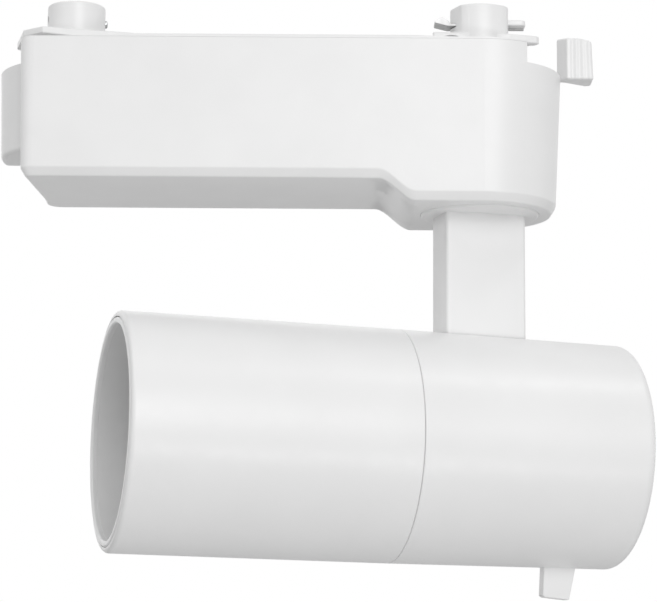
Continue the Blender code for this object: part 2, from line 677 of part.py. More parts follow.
def make_post(name, parent, wing_base, white):
    """A track post: chamfered round body, clip groove, keyed neck with a screw hole, and a wing plate
    with straight sides and ends rounded about the post's axis.
    """
    core = POST_RADIUS - CLIP_GROOVE
    profile = [(0, POST_TOP), (POST_RADIUS - POST_CHAMFER, POST_TOP)]
    profile += [(POST_RADIUS, POST_TOP - POST_CHAMFER), (POST_RADIUS, CLIP_TOP + GAP)]
    profile += [(core, CLIP_TOP + GAP), (core, CLIP_LOW - GAP)]
    profile += [(POST_RADIUS, CLIP_LOW - GAP), (POST_RADIUS, HUB_TOP + GAP)]
    profile += [(POST_NECK_RADIUS, HUB_TOP + GAP), (POST_NECK_RADIUS, HUB_BOTTOM), (0, HUB_BOTTOM)]
    post = piece(name, turned(bmesh.new(), profile, POST_FACETS), white, parent)
    spread = math.asin(WING_HALF_WIDTH / WING_REACH)
    outline = arc((0.0, 0.0), WING_REACH, -spread, spread, WING_STEPS)
    outline += arc((0.0, 0.0), WING_REACH, math.pi - spread, math.pi + spread, WING_STEPS)
    fuse(post, prism(bmesh.new(), outline, wing_base, wing_base + WING_THICKNESS))
    low = (-KEY_HALF_WIDTH, 0.0, HUB_BOTTOM + FINE_GAP)
    key_end = POST_NECK_RADIUS + KEY_REACH
    fuse(post, block(bmesh.new(), low, (KEY_HALF_WIDTH, key_end, HUB_TOP + 2 * GAP)))
    pilot_end = HUB_BOTTOM + LEVER_SCREW_LENGTH + GAP
    cut(post, rod(bmesh.new(), LEVER_SCREW_RADIUS + GAP, -DEEP_DEPTH, pilot_end))
    return post


def make_clip(name, parent, steel):
    """Split retaining ring in the post's groove, down in the lid's pocket."""
    shape = tube(bmesh.new(), CLIP_INNER + CLIP_WIDTH, CLIP_INNER, CLIP_LOW, CLIP_TOP)
    ring = piece(name, shape, steel, parent)
    half = CLIP_MOUTH / 2
    cut(ring, block(bmesh.new(), (-WING_REACH, -half, -DEEP_DEPTH), (0.0, half, DEEP_DEPTH)))


def make_lever(name, parent, angle, white):
    """Hub with a keyway, arm and ribbed upright grip in one moulding."""
    place = Matrix.Rotation(angle, 4, "Z")
    hub = tube(bmesh.new(), HUB_RADIUS, POST_NECK_RADIUS + GAP, HUB_BOTTOM, HUB_TOP)
    lever = piece(name, hub, white, parent)
    low = (HUB_RADIUS - ARM_OVERLAP, -ARM_HALF_WIDTH, HUB_BOTTOM)
    high = (GRIP_INNER + GRIP_LENGTH / 2, ARM_HALF_WIDTH, HUB_TOP)
    fuse(lever, block(bmesh.new(), low, high, place))
    pitch = GRIP_LENGTH / GRIP_RIBS
    valley = GRIP_HALF_WIDTH - RIB_DEPTH
    near = []
    for rib in range(GRIP_RIBS):
        x = GRIP_INNER + pitch * rib
        near += [(x, valley), (x + RIB_FLANK, GRIP_HALF_WIDTH), (x + pitch - RIB_FLANK, GRIP_HALF_WIDTH)]
    near.append((GRIP_INNER + GRIP_LENGTH, valley))
    outline = near + [(x, -y) for x, y in reversed(near)]
    fuse(lever, prism(bmesh.new(), outline, HUB_BOTTOM + FINE_GAP, GRIP_TOP, place))
    half = KEY_HALF_WIDTH + GAP
    key_end = POST_NECK_RADIUS + KEY_REACH + GAP
    cut(lever, block(bmesh.new(), (-half, 0.0, -DEEP_DEPTH), (half, key_end, DEEP_DEPTH)))


def make_lever_screw(name, parent, steel):
    place = Matrix.Translation((0.0, 0.0, HUB_BOTTOM - GAP)) @ Matrix.Rotation(math.pi, 4, "X")
    piece(name, screw(bmesh.new(), LEVER_SCREW_RADIUS, LEVER_SCREW_LENGTH, place), steel, parent)


def live_contact_outline():
    """Side view of the live contact: a tail down the post and a folded nose that springs outwards."""
    strip = CONTACT_STRIP
    tail = CONTACT_TAIL_OFFSET
    top = CONTACT_BASE + CONTACT_HEIGHT
    nose = CONTACT_BASE + CONTACT_NOSE
    crease = CONTACT_REACH - CONTACT_FOLD
    free_end = POST_RADIUS + strip
    outer = [(tail, TAIL_FOOT), (tail + strip, TAIL_FOOT), (tail + strip, CONTACT_BASE)]
    outer += [(CONTACT_REACH - strip, CONTACT_BASE), (CONTACT_REACH, nose)]
    outer += [(crease, top), (free_end, top)]
    inner = [(free_end, top - strip), (crease - strip / 2, top - strip)]
    inner += [(crease + strip / 2, nose), (crease, CONTACT_BASE + strip)]
    return outer + inner + [(tail, CONTACT_BASE + strip)]


def neutral_contact_outline():
    """Side view of the neutral contact: a tail down the post and a flat foot under the plastic tab."""
    tail = CONTACT_TAIL_OFFSET
    strip = CONTACT_STRIP
    outline = [(tail, TAIL_FOOT), (tail + strip, TAIL_FOOT), (tail + strip, CONTACT_BASE)]
    outline += [(CONTACT_REACH, CONTACT_BASE), (CONTACT_REACH, CONTACT_BASE + strip)]
    return outline + [(tail, CONTACT_BASE + strip)]


def make_contact_post(parent, white, copper):
    post = make_post("contact_post", parent, CONTACT_WING_BASE, white)
    half = CONTACT_WIDTH / 2
    mouth_top = CONTACT_BASE + CONTACT_STRIP + GAP
    tab = block(bmesh.new(), (0.0, -half, mouth_top), (TAB_REACH, half, mouth_top + TAB_THICKNESS))
    fuse(post, tab)
    inner = CONTACT_TAIL_OFFSET - GAP
    outer = CONTACT_TAIL_OFFSET + CONTACT_STRIP + GAP
    contacts = (
        ("live_contact", live_contact_outline(), math.pi),
        ("neutral_contact", neutral_contact_outline(), 0.0),
    )
    for name, outline, turn in contacts:
        side = Matrix.Rotation(turn, 4, "Z")
        shape = prism(bmesh.new(), outline, -half + GAP, half - GAP, side @ UPRIGHT)
        piece(name, shape, copper, parent)
        cut(post, block(bmesh.new(), (inner, -half, -DEEP_DEPTH), (outer, half, mouth_top), side))
        low = (inner, -half, CONTACT_BASE - GAP)
        cut(post, block(bmesh.new(), low, (CONTACT_REACH, half, mouth_top), side))


def make_latch_post(parent, white, steel):
    post = make_post("latch_post", parent, LATCH_WING_BASE, white)
    across = Matrix.Rotation(-LATCH_TURN, 4, "Z")
    place = across @ Matrix.Translation((0.0, 0.0, LATCH_PIN_HEIGHT)) @ ALONG_X
    past = POST_RADIUS * 2
    cut(post, rod(bmesh.new(), LATCH_PIN_RADIUS + GAP, -past, past, SMALL_FACETS, place))
    end = POST_RADIUS + LATCH_PIN_PROUD
    pin = rod(bmesh.new(), LATCH_PIN_RADIUS, -POST_RADIUS, end, SMALL_FACETS, place)
    piece("latch_pin", pin, steel, parent)


def make_driver_board(green, steel):
    half = BOARD_WIDTH / 2
    shape = block(bmesh.new(), (BOARD_LEFT, -half, BOARD_BOTTOM), (BOARD_RIGHT, half, BOARD_TOP))
    board = piece("driver_board", shape, green)
    for number, (x, y) in enumerate(board_screw_places(), 1):
        place = Matrix.Translation((x, y, BOARD_SEAT))
        cut(board, rod(bmesh.new(), BOARD_SCREW_RADIUS + GAP, -DEEP_DEPTH, DEEP_DEPTH, SMALL_FACETS, place))
        shape = screw(bmesh.new(), BOARD_SCREW_RADIUS, BOARD_SCREW_LENGTH, place)
        piece(f"board_screw_{number}", shape, steel)


def make_transformer(grey):
    """Winding block with a core that laps over its two long sides."""
    half = TRANSFORMER_LENGTH / 2
    side = TRANSFORMER_WIDTH / 2
    low = (TRANSFORMER_X - half, -side, BOARD_SEAT)
    high = (TRANSFORMER_X + half, side, BOARD_SEAT + TRANSFORMER_HEIGHT)
    transformer = piece("driver_transformer", block(bmesh.new(), low, high), grey)
    half -= CORE_OVERHANG
    side += CORE_OVERHANG
    base = BOARD_SEAT + (TRANSFORMER_HEIGHT - CORE_HEIGHT) / 2
    low = (TRANSFORMER_X - half, -side, base)
    fuse(transformer, block(bmesh.new(), low, (TRANSFORMER_X + half, side, base + CORE_HEIGHT)))


def make_capacitors(black):
    for number, x in enumerate(CAPACITOR_PLACES, 1):
        place = Matrix.Translation((x, 0.0, BOARD_SEAT))
        can = rod(bmesh.new(), CAPACITOR_RADIUS, 0.0, CAPACITOR_HEIGHT, POST_FACETS, place)
        piece(f"driver_capacitor_{number}", can, black)


def make_choke(copper):
    """Wound drum with a rim at each end."""
    upper = CHOKE_HEIGHT - CHOKE_RIM
    profile = [(0, CHOKE_HEIGHT), (CHOKE_RADIUS, CHOKE_HEIGHT), (CHOKE_RADIUS, upper), (CHOKE_WAIST, upper)]
    profile += [(CHOKE_WAIST, CHOKE_RIM), (CHOKE_RADIUS, CHOKE_RIM), (CHOKE_RADIUS, 0), (0, 0)]
    place = Matrix.Translation((CHOKE_X, 0.0, BOARD_SEAT))
    piece("driver_choke", turned(bmesh.new(), profile, POST_FACETS, place), copper)


def make_driver_leads(sleeve):
    """Two leads up to the contacts' tails, and one midway in height between them and the pan bush."""
    start_x = BOARD_RIGHT - STANDOFF_INSET
    foot = TAIL_FOOT - GAP - LEAD_RADIUS
    for name, side in (("live_lead", -1), ("neutral_lead", 1)):
        y = side * LEAD_SPREAD
        x = RIGHT_X + side * CONTACT_TAIL_OFFSET
        route = [(start_x, y, BOARD_SEAT), (start_x, y, BOARD_SEAT + LEAD_RISE)]
        route += [(x, y, foot - LEAD_DROP), (x, 0.0, foot)]
        wire(name, route, LEAD_RADIUS, sleeve)
    y = 2 * LEAD_SPREAD
    over = (BUSH_TOP + foot - LEAD_DROP) / 2
    route = [(start_x, y, BOARD_SEAT), (start_x, y, over), (RIGHT_X - CABLE_BEND, y, over)]
    route += [(RIGHT_X, 0.0, over - CABLE_RADIUS), (RIGHT_X, 0.0, BUSH_TOP + CABLE_RADIUS)]
    wire("output_lead", route, OUTPUT_LEAD_RADIUS, sleeve)


def make_nut(name, radius, thread, low, height, metal, parent, place=Matrix()):
    """A hexagon nut with a round bore."""
    nut = piece(name, rod(bmesh.new(), radius, low, low + height, NUT_SIDES, place), metal, parent)
    cut(nut, rod(bmesh.new(), thread + GAP, low - height, low + 2 * height, POST_FACETS, place))


def make_pan(parent, white, steel, brass):
    bore = BUSH_RADIUS + GAP
    shape = tube(bmesh.new(), COLLAR_RADIUS, bore, COLLAR_BOTTOM, COLLAR_TOP, HEAD_FACETS)
    collar = piece("pan_collar", shape, white, parent)
    place = Matrix.Translation((-STOP_CIRCLE, 0.0, 0.0))
    stop_top = COLLAR_TOP + STOP_PIN_HEIGHT
    fuse(collar, rod(bmesh.new(), STOP_PIN_RADIUS, COLLAR_BOTTOM + GAP, stop_top, SMALL_FACETS, place))
    shape = tube(bmesh.new(), BUSH_RADIUS, BUSH_BORE, STEM_TOP - BUSH_SINK, BUSH_TOP)
    piece("pan_bush", shape, brass, parent)
    washer_low = DEEP_INSIDE + GAP
    washer_high = washer_low + PAN_WASHER_THICKNESS
    piece("pan_washer", tube(bmesh.new(), PAN_WASHER_RADIUS, bore, washer_low, washer_high), steel, parent)
    make_nut("pan_nut", PAN_NUT_RADIUS, BUSH_RADIUS, washer_high + GAP, PAN_NUT_HEIGHT, brass, parent)


def make_stem(parent, white, sleeve):
    """Flat bar with eased edges and a round foot, drilled for the bush, the cable and the tilt pin."""
    half = STEM_WIDTH / 2
    outline = [(half, STEM_TOP)] + arc((0.0, -PIVOT_DROP), half, 0.0, -math.pi, STEM_FOOT_STEPS)
    outline.append((-half, STEM_TOP))
    shape = prism(bmesh.new(), outline, -STEM_DEPTH / 2, STEM_DEPTH / 2, UPRIGHT)
    stem = piece("stem", shape, white, parent)
    ease = stem.modifiers.new("eased_edges", "BEVEL")
    ease.width = STEM_EDGE
    ease.segments = STEM_EDGE_SEGMENTS
    ease.limit_method = "ANGLE"
    cut(stem, rod(bmesh.new(), BUSH_RADIUS + GAP, STEM_TOP - BUSH_SINK - GAP, 0.0, POST_FACETS))
    exit_height = -PIVOT_DROP + CABLE_EXIT_HEIGHT
    duct = CABLE_RADIUS + GAP
    cut(stem, rod(bmesh.new(), duct, exit_height, 0.0))
    place = Matrix.Translation((0.0, 0.0, exit_height)) @ ALONG_X
    cut(stem, rod(bmesh.new(), duct, -STEM_WIDTH, 0.0, SMALL_FACETS, place))
    place = Matrix.Translation((0.0, 0.0, -PIVOT_DROP)) @ ALONG_Y
    cut(stem, rod(bmesh.new(), PIN_RADIUS + GAP, -STEM_DEPTH, STEM_DEPTH, POST_FACETS, place))
    wire("stem_cable", [(0.0, 0.0, BUSH_TOP), (0.0, 0.0, exit_height)], CABLE_RADIUS, sleeve, parent)


def screw_seat(face):
    """Turns a screw about so that its head sits in front of a face across the head."""
    return Matrix.Rotation(math.pi, 4, "X") @ Matrix.Translation((0.0, 0.0, GAP - face))


def yoke_screw_places():
    """Axes of the two screws that hold the yoke to the heat sink, along the head."""
    corners = ((-YOKE_SCREW_OFFSET, YOKE_SCREW_HEIGHT), (YOKE_SCREW_OFFSET, -YOKE_SCREW_HEIGHT))
    return [Matrix.Translation((0.0, y, z)) @ ALONG_X for y, z in corners]


def side_axes(offset):
    """Two axes along the head, one on each side."""
    return [Matrix.Translation((0.0, y, 0.0)) @ ALONG_X for y in (-offset, offset)]


def lead_passage():
    """Hole through the heat sink and the yoke for the light source's lead."""
    place = Matrix.Translation((0.0, YOKE_SCREW_OFFSET, CABLE_EXIT_HEIGHT)) @ ALONG_X
    return rod(bmesh.new(), CABLE_RADIUS + GAP, -BARREL_RADIUS, 0.0, SMALL_FACETS, place)


def make_tilt_pin(parent, steel, grey):
    """Headed pin across the yoke, with its nut and a washer on each side of the stem."""
    seat = CHEEK_OUTER + GAP
    head = seat + PIN_HEAD_HEIGHT
    end = seat + NUT_HEIGHT
    profile = [(0, end), (PIN_RADIUS, end), (PIN_RADIUS, -seat), (PIN_HEAD_RADIUS, -seat)]
    profile += [(PIN_HEAD_RADIUS, -head), (0, -head)]
    piece("tilt_pin", turned(bmesh.new(), profile, POST_FACETS, ALONG_Y), steel, parent)
    make_nut("tilt_nut", PIN_HEAD_RADIUS, PIN_RADIUS, seat, NUT_HEIGHT, steel, parent, ALONG_Y)
    near = STEM_DEPTH / 2 + GAP
    for number, low in enumerate((near, -near - WASHER_THICKNESS), 1):
        high = low + WASHER_THICKNESS
        washer = tube(bmesh.new(), WASHER_RADIUS, PIN_RADIUS + GAP, low, high, POST_FACETS, ALONG_Y)
        piece(f"tilt_washer_{number}", washer, grey, parent)


def make_tilt_yoke(parent, grey, steel):
    """Plate on the heat sink's back with two cheeks that carry the tilt pin."""
    front = SINK_REAR + GAP
    low = (front, -CHEEK_OUTER, -YOKE_HALF_HEIGHT)
    plate = block(bmesh.new(), low, (front + CHEEK_THICKNESS, CHEEK_OUTER, YOKE_HALF_HEIGHT))
    yoke = piece("tilt_yoke", plate, grey, parent)
    height = YOKE_HALF_HEIGHT - CHEEK_THICKNESS
    for side in (-1, 1):
        near, far = sorted((side * CHEEK_INNER, side * CHEEK_OUTER))
        low = (front + CHEEK_THICKNESS / 2, near, -height)
        fuse(yoke, block(bmesh.new(), low, (YOKE_REAR, far, height)))
    past = CHEEK_OUTER * 2
    cut(yoke, rod(bmesh.new(), PIN_RADIUS + GAP, -past, past, POST_FACETS, ALONG_Y))
    for number, place in enumerate(yoke_screw_places(), 1):
        cut(yoke, rod(bmesh.new(), YOKE_SCREW_RADIUS + GAP, -BARREL_RADIUS, 0.0, SMALL_FACETS, place))
        seat = place @ screw_seat(SINK_FRONT)
        shape = screw(bmesh.new(), YOKE_SCREW_RADIUS, SINK_BASE + CHEEK_THICKNESS, seat)
        piece(f"yoke_screw_{number}", shape, steel, parent)
    cut(yoke, lead_passage())


def make_rear_housing(parent, white):
    """Cup with a filleted rear edge, a spigot into the barrel, two screw lugs and a slot for the stem."""
    inside = REAR_REACH - REAR_PLATE
    seam = -SEAM_REACH + GAP
    profile = [(0, REAR_REACH)]
    for step in range(REAR_FILLET_STEPS, -1, -1):
        turn = QUARTER_TURN * step / REAR_FILLET_STEPS
        radius = REAR_END_RADIUS - REAR_FILLET * (1 - math.cos(turn))
        profile.append((radius, REAR_REACH - REAR_FILLET * (1 - math.sin(turn))))
    spigot_front = seam - SPIGOT_LENGTH
    spigot_bore = SPIGOT_RADIUS - SPIGOT_WALL
    profile += [(REAR_RADIUS, seam), (SPIGOT_RADIUS, seam), (SPIGOT_RADIUS, spigot_front)]
    profile += [(spigot_bore, spigot_front), (spigot_bore, seam), (REAR_BORE, seam + SINK_SETBACK / 2)]
    profile += [(REAR_BORE, inside), (0, inside)]
    shell = piece("rear_housing", turned(bmesh.new(), profile, HEAD_FACETS, ALONG_X), white, parent)
    start = SINK_REAR + GAP
    for side in (-1, 1):
        near, far = sorted((side * (LUG_PLACE - LUG_HALF_WIDTH), side * (REAR_BORE + REAR_WALL / 2)))
        low = (start, near, -LUG_HALF_WIDTH)
        fuse(shell, block(bmesh.new(), low, (start + LUG_LENGTH, far, LUG_HALF_WIDTH)))
    pilot_end = SINK_FRONT + SINK_SCREW_LENGTH + GAP
    for place in side_axes(LUG_PLACE):
        cut(shell, rod(bmesh.new(), SINK_SCREW_RADIUS + GAP, SINK_FRONT, pilot_end, SMALL_FACETS, place))
    past = REAR_REACH * 2
    low = (SLOT_FRONT, -SLOT_HALF_WIDTH, 0.0)
    cut(shell, block(bmesh.new(), low, (past, SLOT_HALF_WIDTH, BARREL_RADIUS * 2)))
    low = (inside - REAR_PLATE, -SLOT_HALF_WIDTH, -STEM_SWING)
    cut(shell, block(bmesh.new(), low, (past, SLOT_HALF_WIDTH, STEM_SWING)))
    place = Matrix.Translation((TAB_MIDDLE, 0.0, 0.0))
    cut(shell, rod(bmesh.new(), TAB_SCREW_RADIUS + GAP, -BARREL_RADIUS * 2, 0.0, SMALL_FACETS, place))


def make_heat_sink(parent, alloy, steel):
    """Round base across the head with upright fins on both sides of the yoke."""
    base = rod(bmesh.new(), REAR_BORE - GAP, SINK_FRONT, SINK_REAR, HEAD_FACETS, ALONG_X)
    sink = piece("heat_sink", base, alloy, parent)
    half = FIN_THICKNESS / 2
    for side in (-1, 1):
        for row in range(FIN_COUNT):
            middle = side * (FIN_FIRST + FIN_PITCH * row)
            low = (SINK_REAR - SINK_BASE / 2, middle - half, -FIN_HALF_HEIGHT)
            high = (SINK_REAR + FIN_LENGTH, middle + half, FIN_HALF_HEIGHT)
            fuse(sink, block(bmesh.new(), low, high))
    for place in yoke_screw_places():
        cut(sink, rod(bmesh.new(), YOKE_SCREW_RADIUS + GAP, -BARREL_RADIUS, 0.0, SMALL_FACETS, place))
    for number, place in enumerate(side_axes(LUG_PLACE), 1):
        cut(sink, rod(bmesh.new(), SINK_SCREW_RADIUS + GAP, -BARREL_RADIUS, 0.0, SMALL_FACETS, place))
        seat = place @ screw_seat(SINK_FRONT)
        shape = screw(bmesh.new(), SINK_SCREW_RADIUS, SINK_SCREW_LENGTH, seat)
        piece(f"heat_sink_screw_{number}", shape, steel, parent)
    for place in side_axes(HOLDER_SCREW_PLACE):
        bore = HOLDER_SCREW_RADIUS + GAP
        cut(sink, rod(bmesh.new(), bore, -BARREL_RADIUS, SINK_REAR - SINK_BLIND, SMALL_FACETS, place))
    cut(sink, lead_passage())


def make_light_source(parent, pad_grey, ceramic, phosphor):
    half = LED_BOARD_SIZE / 2
    pad_back = SINK_FRONT - GAP
    low = (pad_back - THERMAL_PAD_THICKNESS, -half, -half)
    piece("thermal_pad", block(bmesh.new(), low, (pad_back, half, half)), pad_grey, parent)
    board_front = LED_BACK - LED_BOARD_THICKNESS
    board = block(bmesh.new(), (board_front, -half, -half), (LED_BACK, half, half))
    piece("led_board", board, ceramic, parent)
    back = board_front - FINE_GAP
    face = rod(bmesh.new(), EMITTER_RADIUS, back - EMITTER_THICKNESS, back, POST_FACETS, ALONG_X)
    piece("led_emitter", face, phosphor, parent)


def make_led_holder(parent, white, steel):
    """Ring that clamps the light source's board, with a notch where its lead comes in."""
    ring = tube(bmesh.new(), HOLDER_RADIUS, HOLDER_BORE, HOLDER_FRONT, HOLDER_BACK, POST_FACETS, ALONG_X)
    holder = piece("led_holder", ring, white, parent)
    length = SINK_FRONT - HOLDER_FRONT + SINK_BASE / 2
    for number, axis in enumerate(side_axes(HOLDER_SCREW_PLACE), 1):
        cut(holder, rod(bmesh.new(), HOLDER_SCREW_RADIUS + GAP, -FRONT_REACH, 0.0, SMALL_FACETS, axis))
        shape = screw(bmesh.new(), HOLDER_SCREW_RADIUS, length, axis @ screw_seat(HOLDER_FRONT))
        piece(f"holder_screw_{number}", shape, steel, parent)
    low = (HOLDER_FRONT - GAP, 0.0, LED_BOARD_SIZE / 2 + GAP)
    notch_side = YOKE_SCREW_OFFSET + CABLE_RADIUS + GAP
    cut(holder, block(bmesh.new(), low, (0.0, notch_side, HOLDER_RADIUS * 2)))


def make_led_lead(parent, sleeve):
    bend = SINK_FRONT - THERMAL_PAD_THICKNESS - LEAD_RADIUS
    end = LED_BOARD_SIZE / 2 + LEAD_RADIUS / 2 + GAP
    route = [(SINK_REAR + GAP, YOKE_SCREW_OFFSET, CABLE_EXIT_HEIGHT)]
    route += [(bend, YOKE_SCREW_OFFSET, CABLE_EXIT_HEIGHT), (bend, YOKE_SCREW_OFFSET, end)]
    wire("led_lead", route, LEAD_RADIUS, sleeve, parent)


def make_reflector(parent, mirror):
    """Bowl that opens with the square root of the depth, with a flange behind the glass."""
    inner = []
    for step in range(REFLECTOR_STEPS + 1):
        share = step / REFLECTOR_STEPS
        radius = REFLECTOR_THROAT + (REFLECTOR_MOUTH - REFLECTOR_THROAT) * math.sqrt(1 - share)
        inner.append((radius, REFLECTOR_FRONT + (REFLECTOR_BACK - REFLECTOR_FRONT) * share))
    flange = REFLECTOR_FRONT + REFLECTOR_FLANGE
    outer = [(radius + REFLECTOR_WALL, x) for radius, x in reversed(inner) if x > flange]
    outer += [(REFLECTOR_MOUTH + REFLECTOR_WALL, flange), (OPTIC_RADIUS, flange)]
    outer.append((OPTIC_RADIUS, REFLECTOR_FRONT))
    piece("reflector", turned(bmesh.new(), inner + outer, POST_FACETS, ALONG_X), mirror, parent)


def make_cover_glass(parent, glass, rubber):
    glass_back = GLASS_FRONT + GLASS_THICKNESS
    pane = rod(bmesh.new(), OPTIC_RADIUS, GLASS_FRONT, glass_back, HEAD_FACETS, ALONG_X)
    piece("cover_glass", pane, glass, parent)
    back = GASKET_FRONT + GASKET_THICKNESS
    bore = OPTIC_RADIUS - GASKET_WIDTH
    seal = tube(bmesh.new(), OPTIC_RADIUS, bore, GASKET_FRONT, back, POST_FACETS, ALONG_X)
    piece("glass_gasket", seal, rubber, parent)


def make_glare_baffle(parent, white):
    """Cone from the front ring down to the glass, with a lip at each end that fits the barrel."""
    rear_lip = BAFFLE_REAR - BAFFLE_WALL
    profile = [(OPTIC_RADIUS, BAFFLE_FRONT), (OPTIC_RADIUS, BAFFLE_FRONT + BAFFLE_LIP)]
    profile += [(REFLECTOR_MOUTH + BAFFLE_WALL, rear_lip), (OPTIC_RADIUS, rear_lip)]
    profile += [(OPTIC_RADIUS, BAFFLE_REAR), (REFLECTOR_MOUTH, BAFFLE_REAR), (RING_BORE, BAFFLE_FRONT)]
    piece("glare_baffle", turned(bmesh.new(), profile, HEAD_FACETS, ALONG_X), white, parent)


def make_front_ring(parent, white):
    """Trim ring just inside the barrel's mouth, chamfered on its inner edge."""
    end = RING_FRONT + RING_LENGTH
    profile = [(OPTIC_RADIUS, RING_FRONT), (OPTIC_RADIUS, end), (RING_BORE, end)]
    profile += [(RING_BORE, RING_FRONT + RING_CHAMFER), (RING_BORE + RING_CHAMFER, RING_FRONT)]
    piece("front_ring", turned(bmesh.new(), profile, HEAD_FACETS, ALONG_X), white, parent)


def make_front_barrel(parent, white):
    front = -FRONT_REACH
    profile = [(BARREL_RADIUS - RIM_CHAMFER, front), (BARREL_RADIUS, front + RIM_CHAMFER)]
    profile += [(BARREL_REAR_RADIUS, -SEAM_REACH), (BARREL_BORE, -SEAM_REACH), (BARREL_BORE, front)]
    piece("front_barrel", turned(bmesh.new(), profile, HEAD_FACETS, ALONG_X), white, parent)


def make_aim_tab(parent, white, steel):
    """Tapered tab whose top follows the shell, held by a screw from inside."""
    half = TAB_WIDTH / 2
    root = -REAR_END_RADIUS + REAR_WALL
    tip = -REAR_END_RADIUS - TAB_DROP
    outline = [(TAB_FRONT, root), (TAB_FRONT, tip + TAB_SLANT), (TAB_FRONT + TAB_SLANT, tip + TAB_SLANT / 2)]
    outline += [(TAB_FRONT + TAB_TIP_LENGTH, tip), (TAB_FRONT + TAB_TOP_LENGTH, root)]
    tab = piece("aim_tab", prism(bmesh.new(), outline, -half, half, UPRIGHT), white, parent)
    skin = [(0, REAR_REACH), (REAR_END_RADIUS + GAP, REAR_REACH)]
    skin += [(REAR_RADIUS + GAP, -SEAM_REACH), (0, -SEAM_REACH)]
    cut(tab, turned(bmesh.new(), skin, HEAD_FACETS, ALONG_X))
    place = Matrix.Translation((TAB_MIDDLE, 0.0, -REAR_BORE + 2 * GAP))
    bore = TAB_SCREW_RADIUS + GAP
    cut(tab, rod(bmesh.new(), bore, -TAB_SCREW_LENGTH - GAP, REAR_BORE, SMALL_FACETS, place))
    piece("aim_tab_screw", screw(bmesh.new(), TAB_SCREW_RADIUS, TAB_SCREW_LENGTH, place), steel, parent)


clear_scene()

white_plastic = finish("white_abs", (0.86, 0.86, 0.85), 0.42)
white_paint = finish("white_powder_coat", (0.88, 0.88, 0.87), 0.45)
zinc_steel = finish("zinc_plated_steel", (0.62, 0.62, 0.60), 0.35, 1.0)
contact_metal = finish("nickel_plated_copper", (0.55, 0.53, 0.50), 0.3, 1.0)
brass_metal = finish("brass", (0.72, 0.56, 0.28), 0.35, 1.0)
cast_alloy = finish("cast_aluminium", (0.60, 0.61, 0.62), 0.5, 1.0)
mirror_alloy = finish("bright_anodised_aluminium", (0.86, 0.86, 0.86), 0.12, 1.0)
clear_glass = finish("toughened_glass", (0.95, 0.97, 0.96), 0.05, 0.0, 1.0)
grey_rubber = finish("grey_silicone", (0.35, 0.35, 0.35), 0.7)
circuit_green = finish("green_circuit_board", (0.05, 0.25, 0.12), 0.5)
ferrite_grey = finish("ferrite", (0.12, 0.12, 0.12), 0.6)
foil_black = finish("capacitor_sleeve", (0.06, 0.07, 0.10), 0.4)
winding_copper = finish("enamelled_copper", (0.55, 0.26, 0.12), 0.35, 1.0)
ceramic_white = finish("ceramic_board", (0.80, 0.80, 0.78), 0.5)
phosphor_yellow = finish("phosphor", (0.85, 0.68, 0.18), 0.5)
lead_sleeve = finish("silicone_sleeve", (0.75, 0.74, 0.72), 0.6)

contact_axis = axis_empty("contact_axis", (RIGHT_X, 0.0, 0.0), (0.0, 0.0, 0.0))
latch_axis = axis_empty("latch_axis", (LEFT_X, 0.0, 0.0), (0.0, 0.0, LATCH_TURN))
pan_axis = axis_empty("pan_axis", (RIGHT_X, 0.0, 0.0), (0.0, 0.0, PAN_ANGLE))
tilt_axis = axis_empty("tilt_axis", (0.0, 0.0, -PIVOT_DROP), (0.0, TILT_REST, 0.0), pan_axis)

make_housing(white_plastic)
make_lid(white_plastic)
make_lid_screws(zinc_steel)
make_contact_post(contact_axis, white_plastic, contact_metal)
make_clip("contact_post_clip", contact_axis, zinc_steel)
make_lever("contact_lever", contact_axis, LEVER_ANGLE, white_plastic)
make_lever_screw("contact_lever_screw", contact_axis, zinc_steel)
make_latch_post(latch_axis, white_plastic, zinc_steel)
make_clip("latch_post_clip", latch_axis, zinc_steel)
make_lever("latch_lever", latch_axis, LATCH_LEVER_START, white_plastic)
make_lever_screw("latch_lever_screw", latch_axis, zinc_steel)
make_driver_board(circuit_green, zinc_steel)
make_transformer(ferrite_grey)
make_capacitors(foil_black)
make_choke(winding_copper)
make_driver_leads(lead_sleeve)
make_pan(pan_axis, white_plastic, zinc_steel, brass_metal)
make_stem(pan_axis, white_paint, lead_sleeve)
make_tilt_pin(tilt_axis, zinc_steel, cast_alloy)
make_tilt_yoke(tilt_axis, cast_alloy, zinc_steel)
make_rear_housing(tilt_axis, white_paint)
make_heat_sink(tilt_axis, cast_alloy, zinc_steel)
make_light_source(tilt_axis, grey_rubber, ceramic_white, phosphor_yellow)
make_led_holder(tilt_axis, white_plastic, zinc_steel)
make_led_lead(tilt_axis, lead_sleeve)
make_reflector(tilt_axis, mirror_alloy)
make_cover_glass(tilt_axis, clear_glass, grey_rubber)
make_glare_baffle(tilt_axis, white_plastic)
make_front_ring(tilt_axis, white_plastic)
make_front_barrel(tilt_axis, white_paint)
make_aim_tab(tilt_axis, white_paint, zinc_steel)
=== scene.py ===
import math

import bmesh
import bpy
import numpy as np
from mathutils import Matrix, Vector


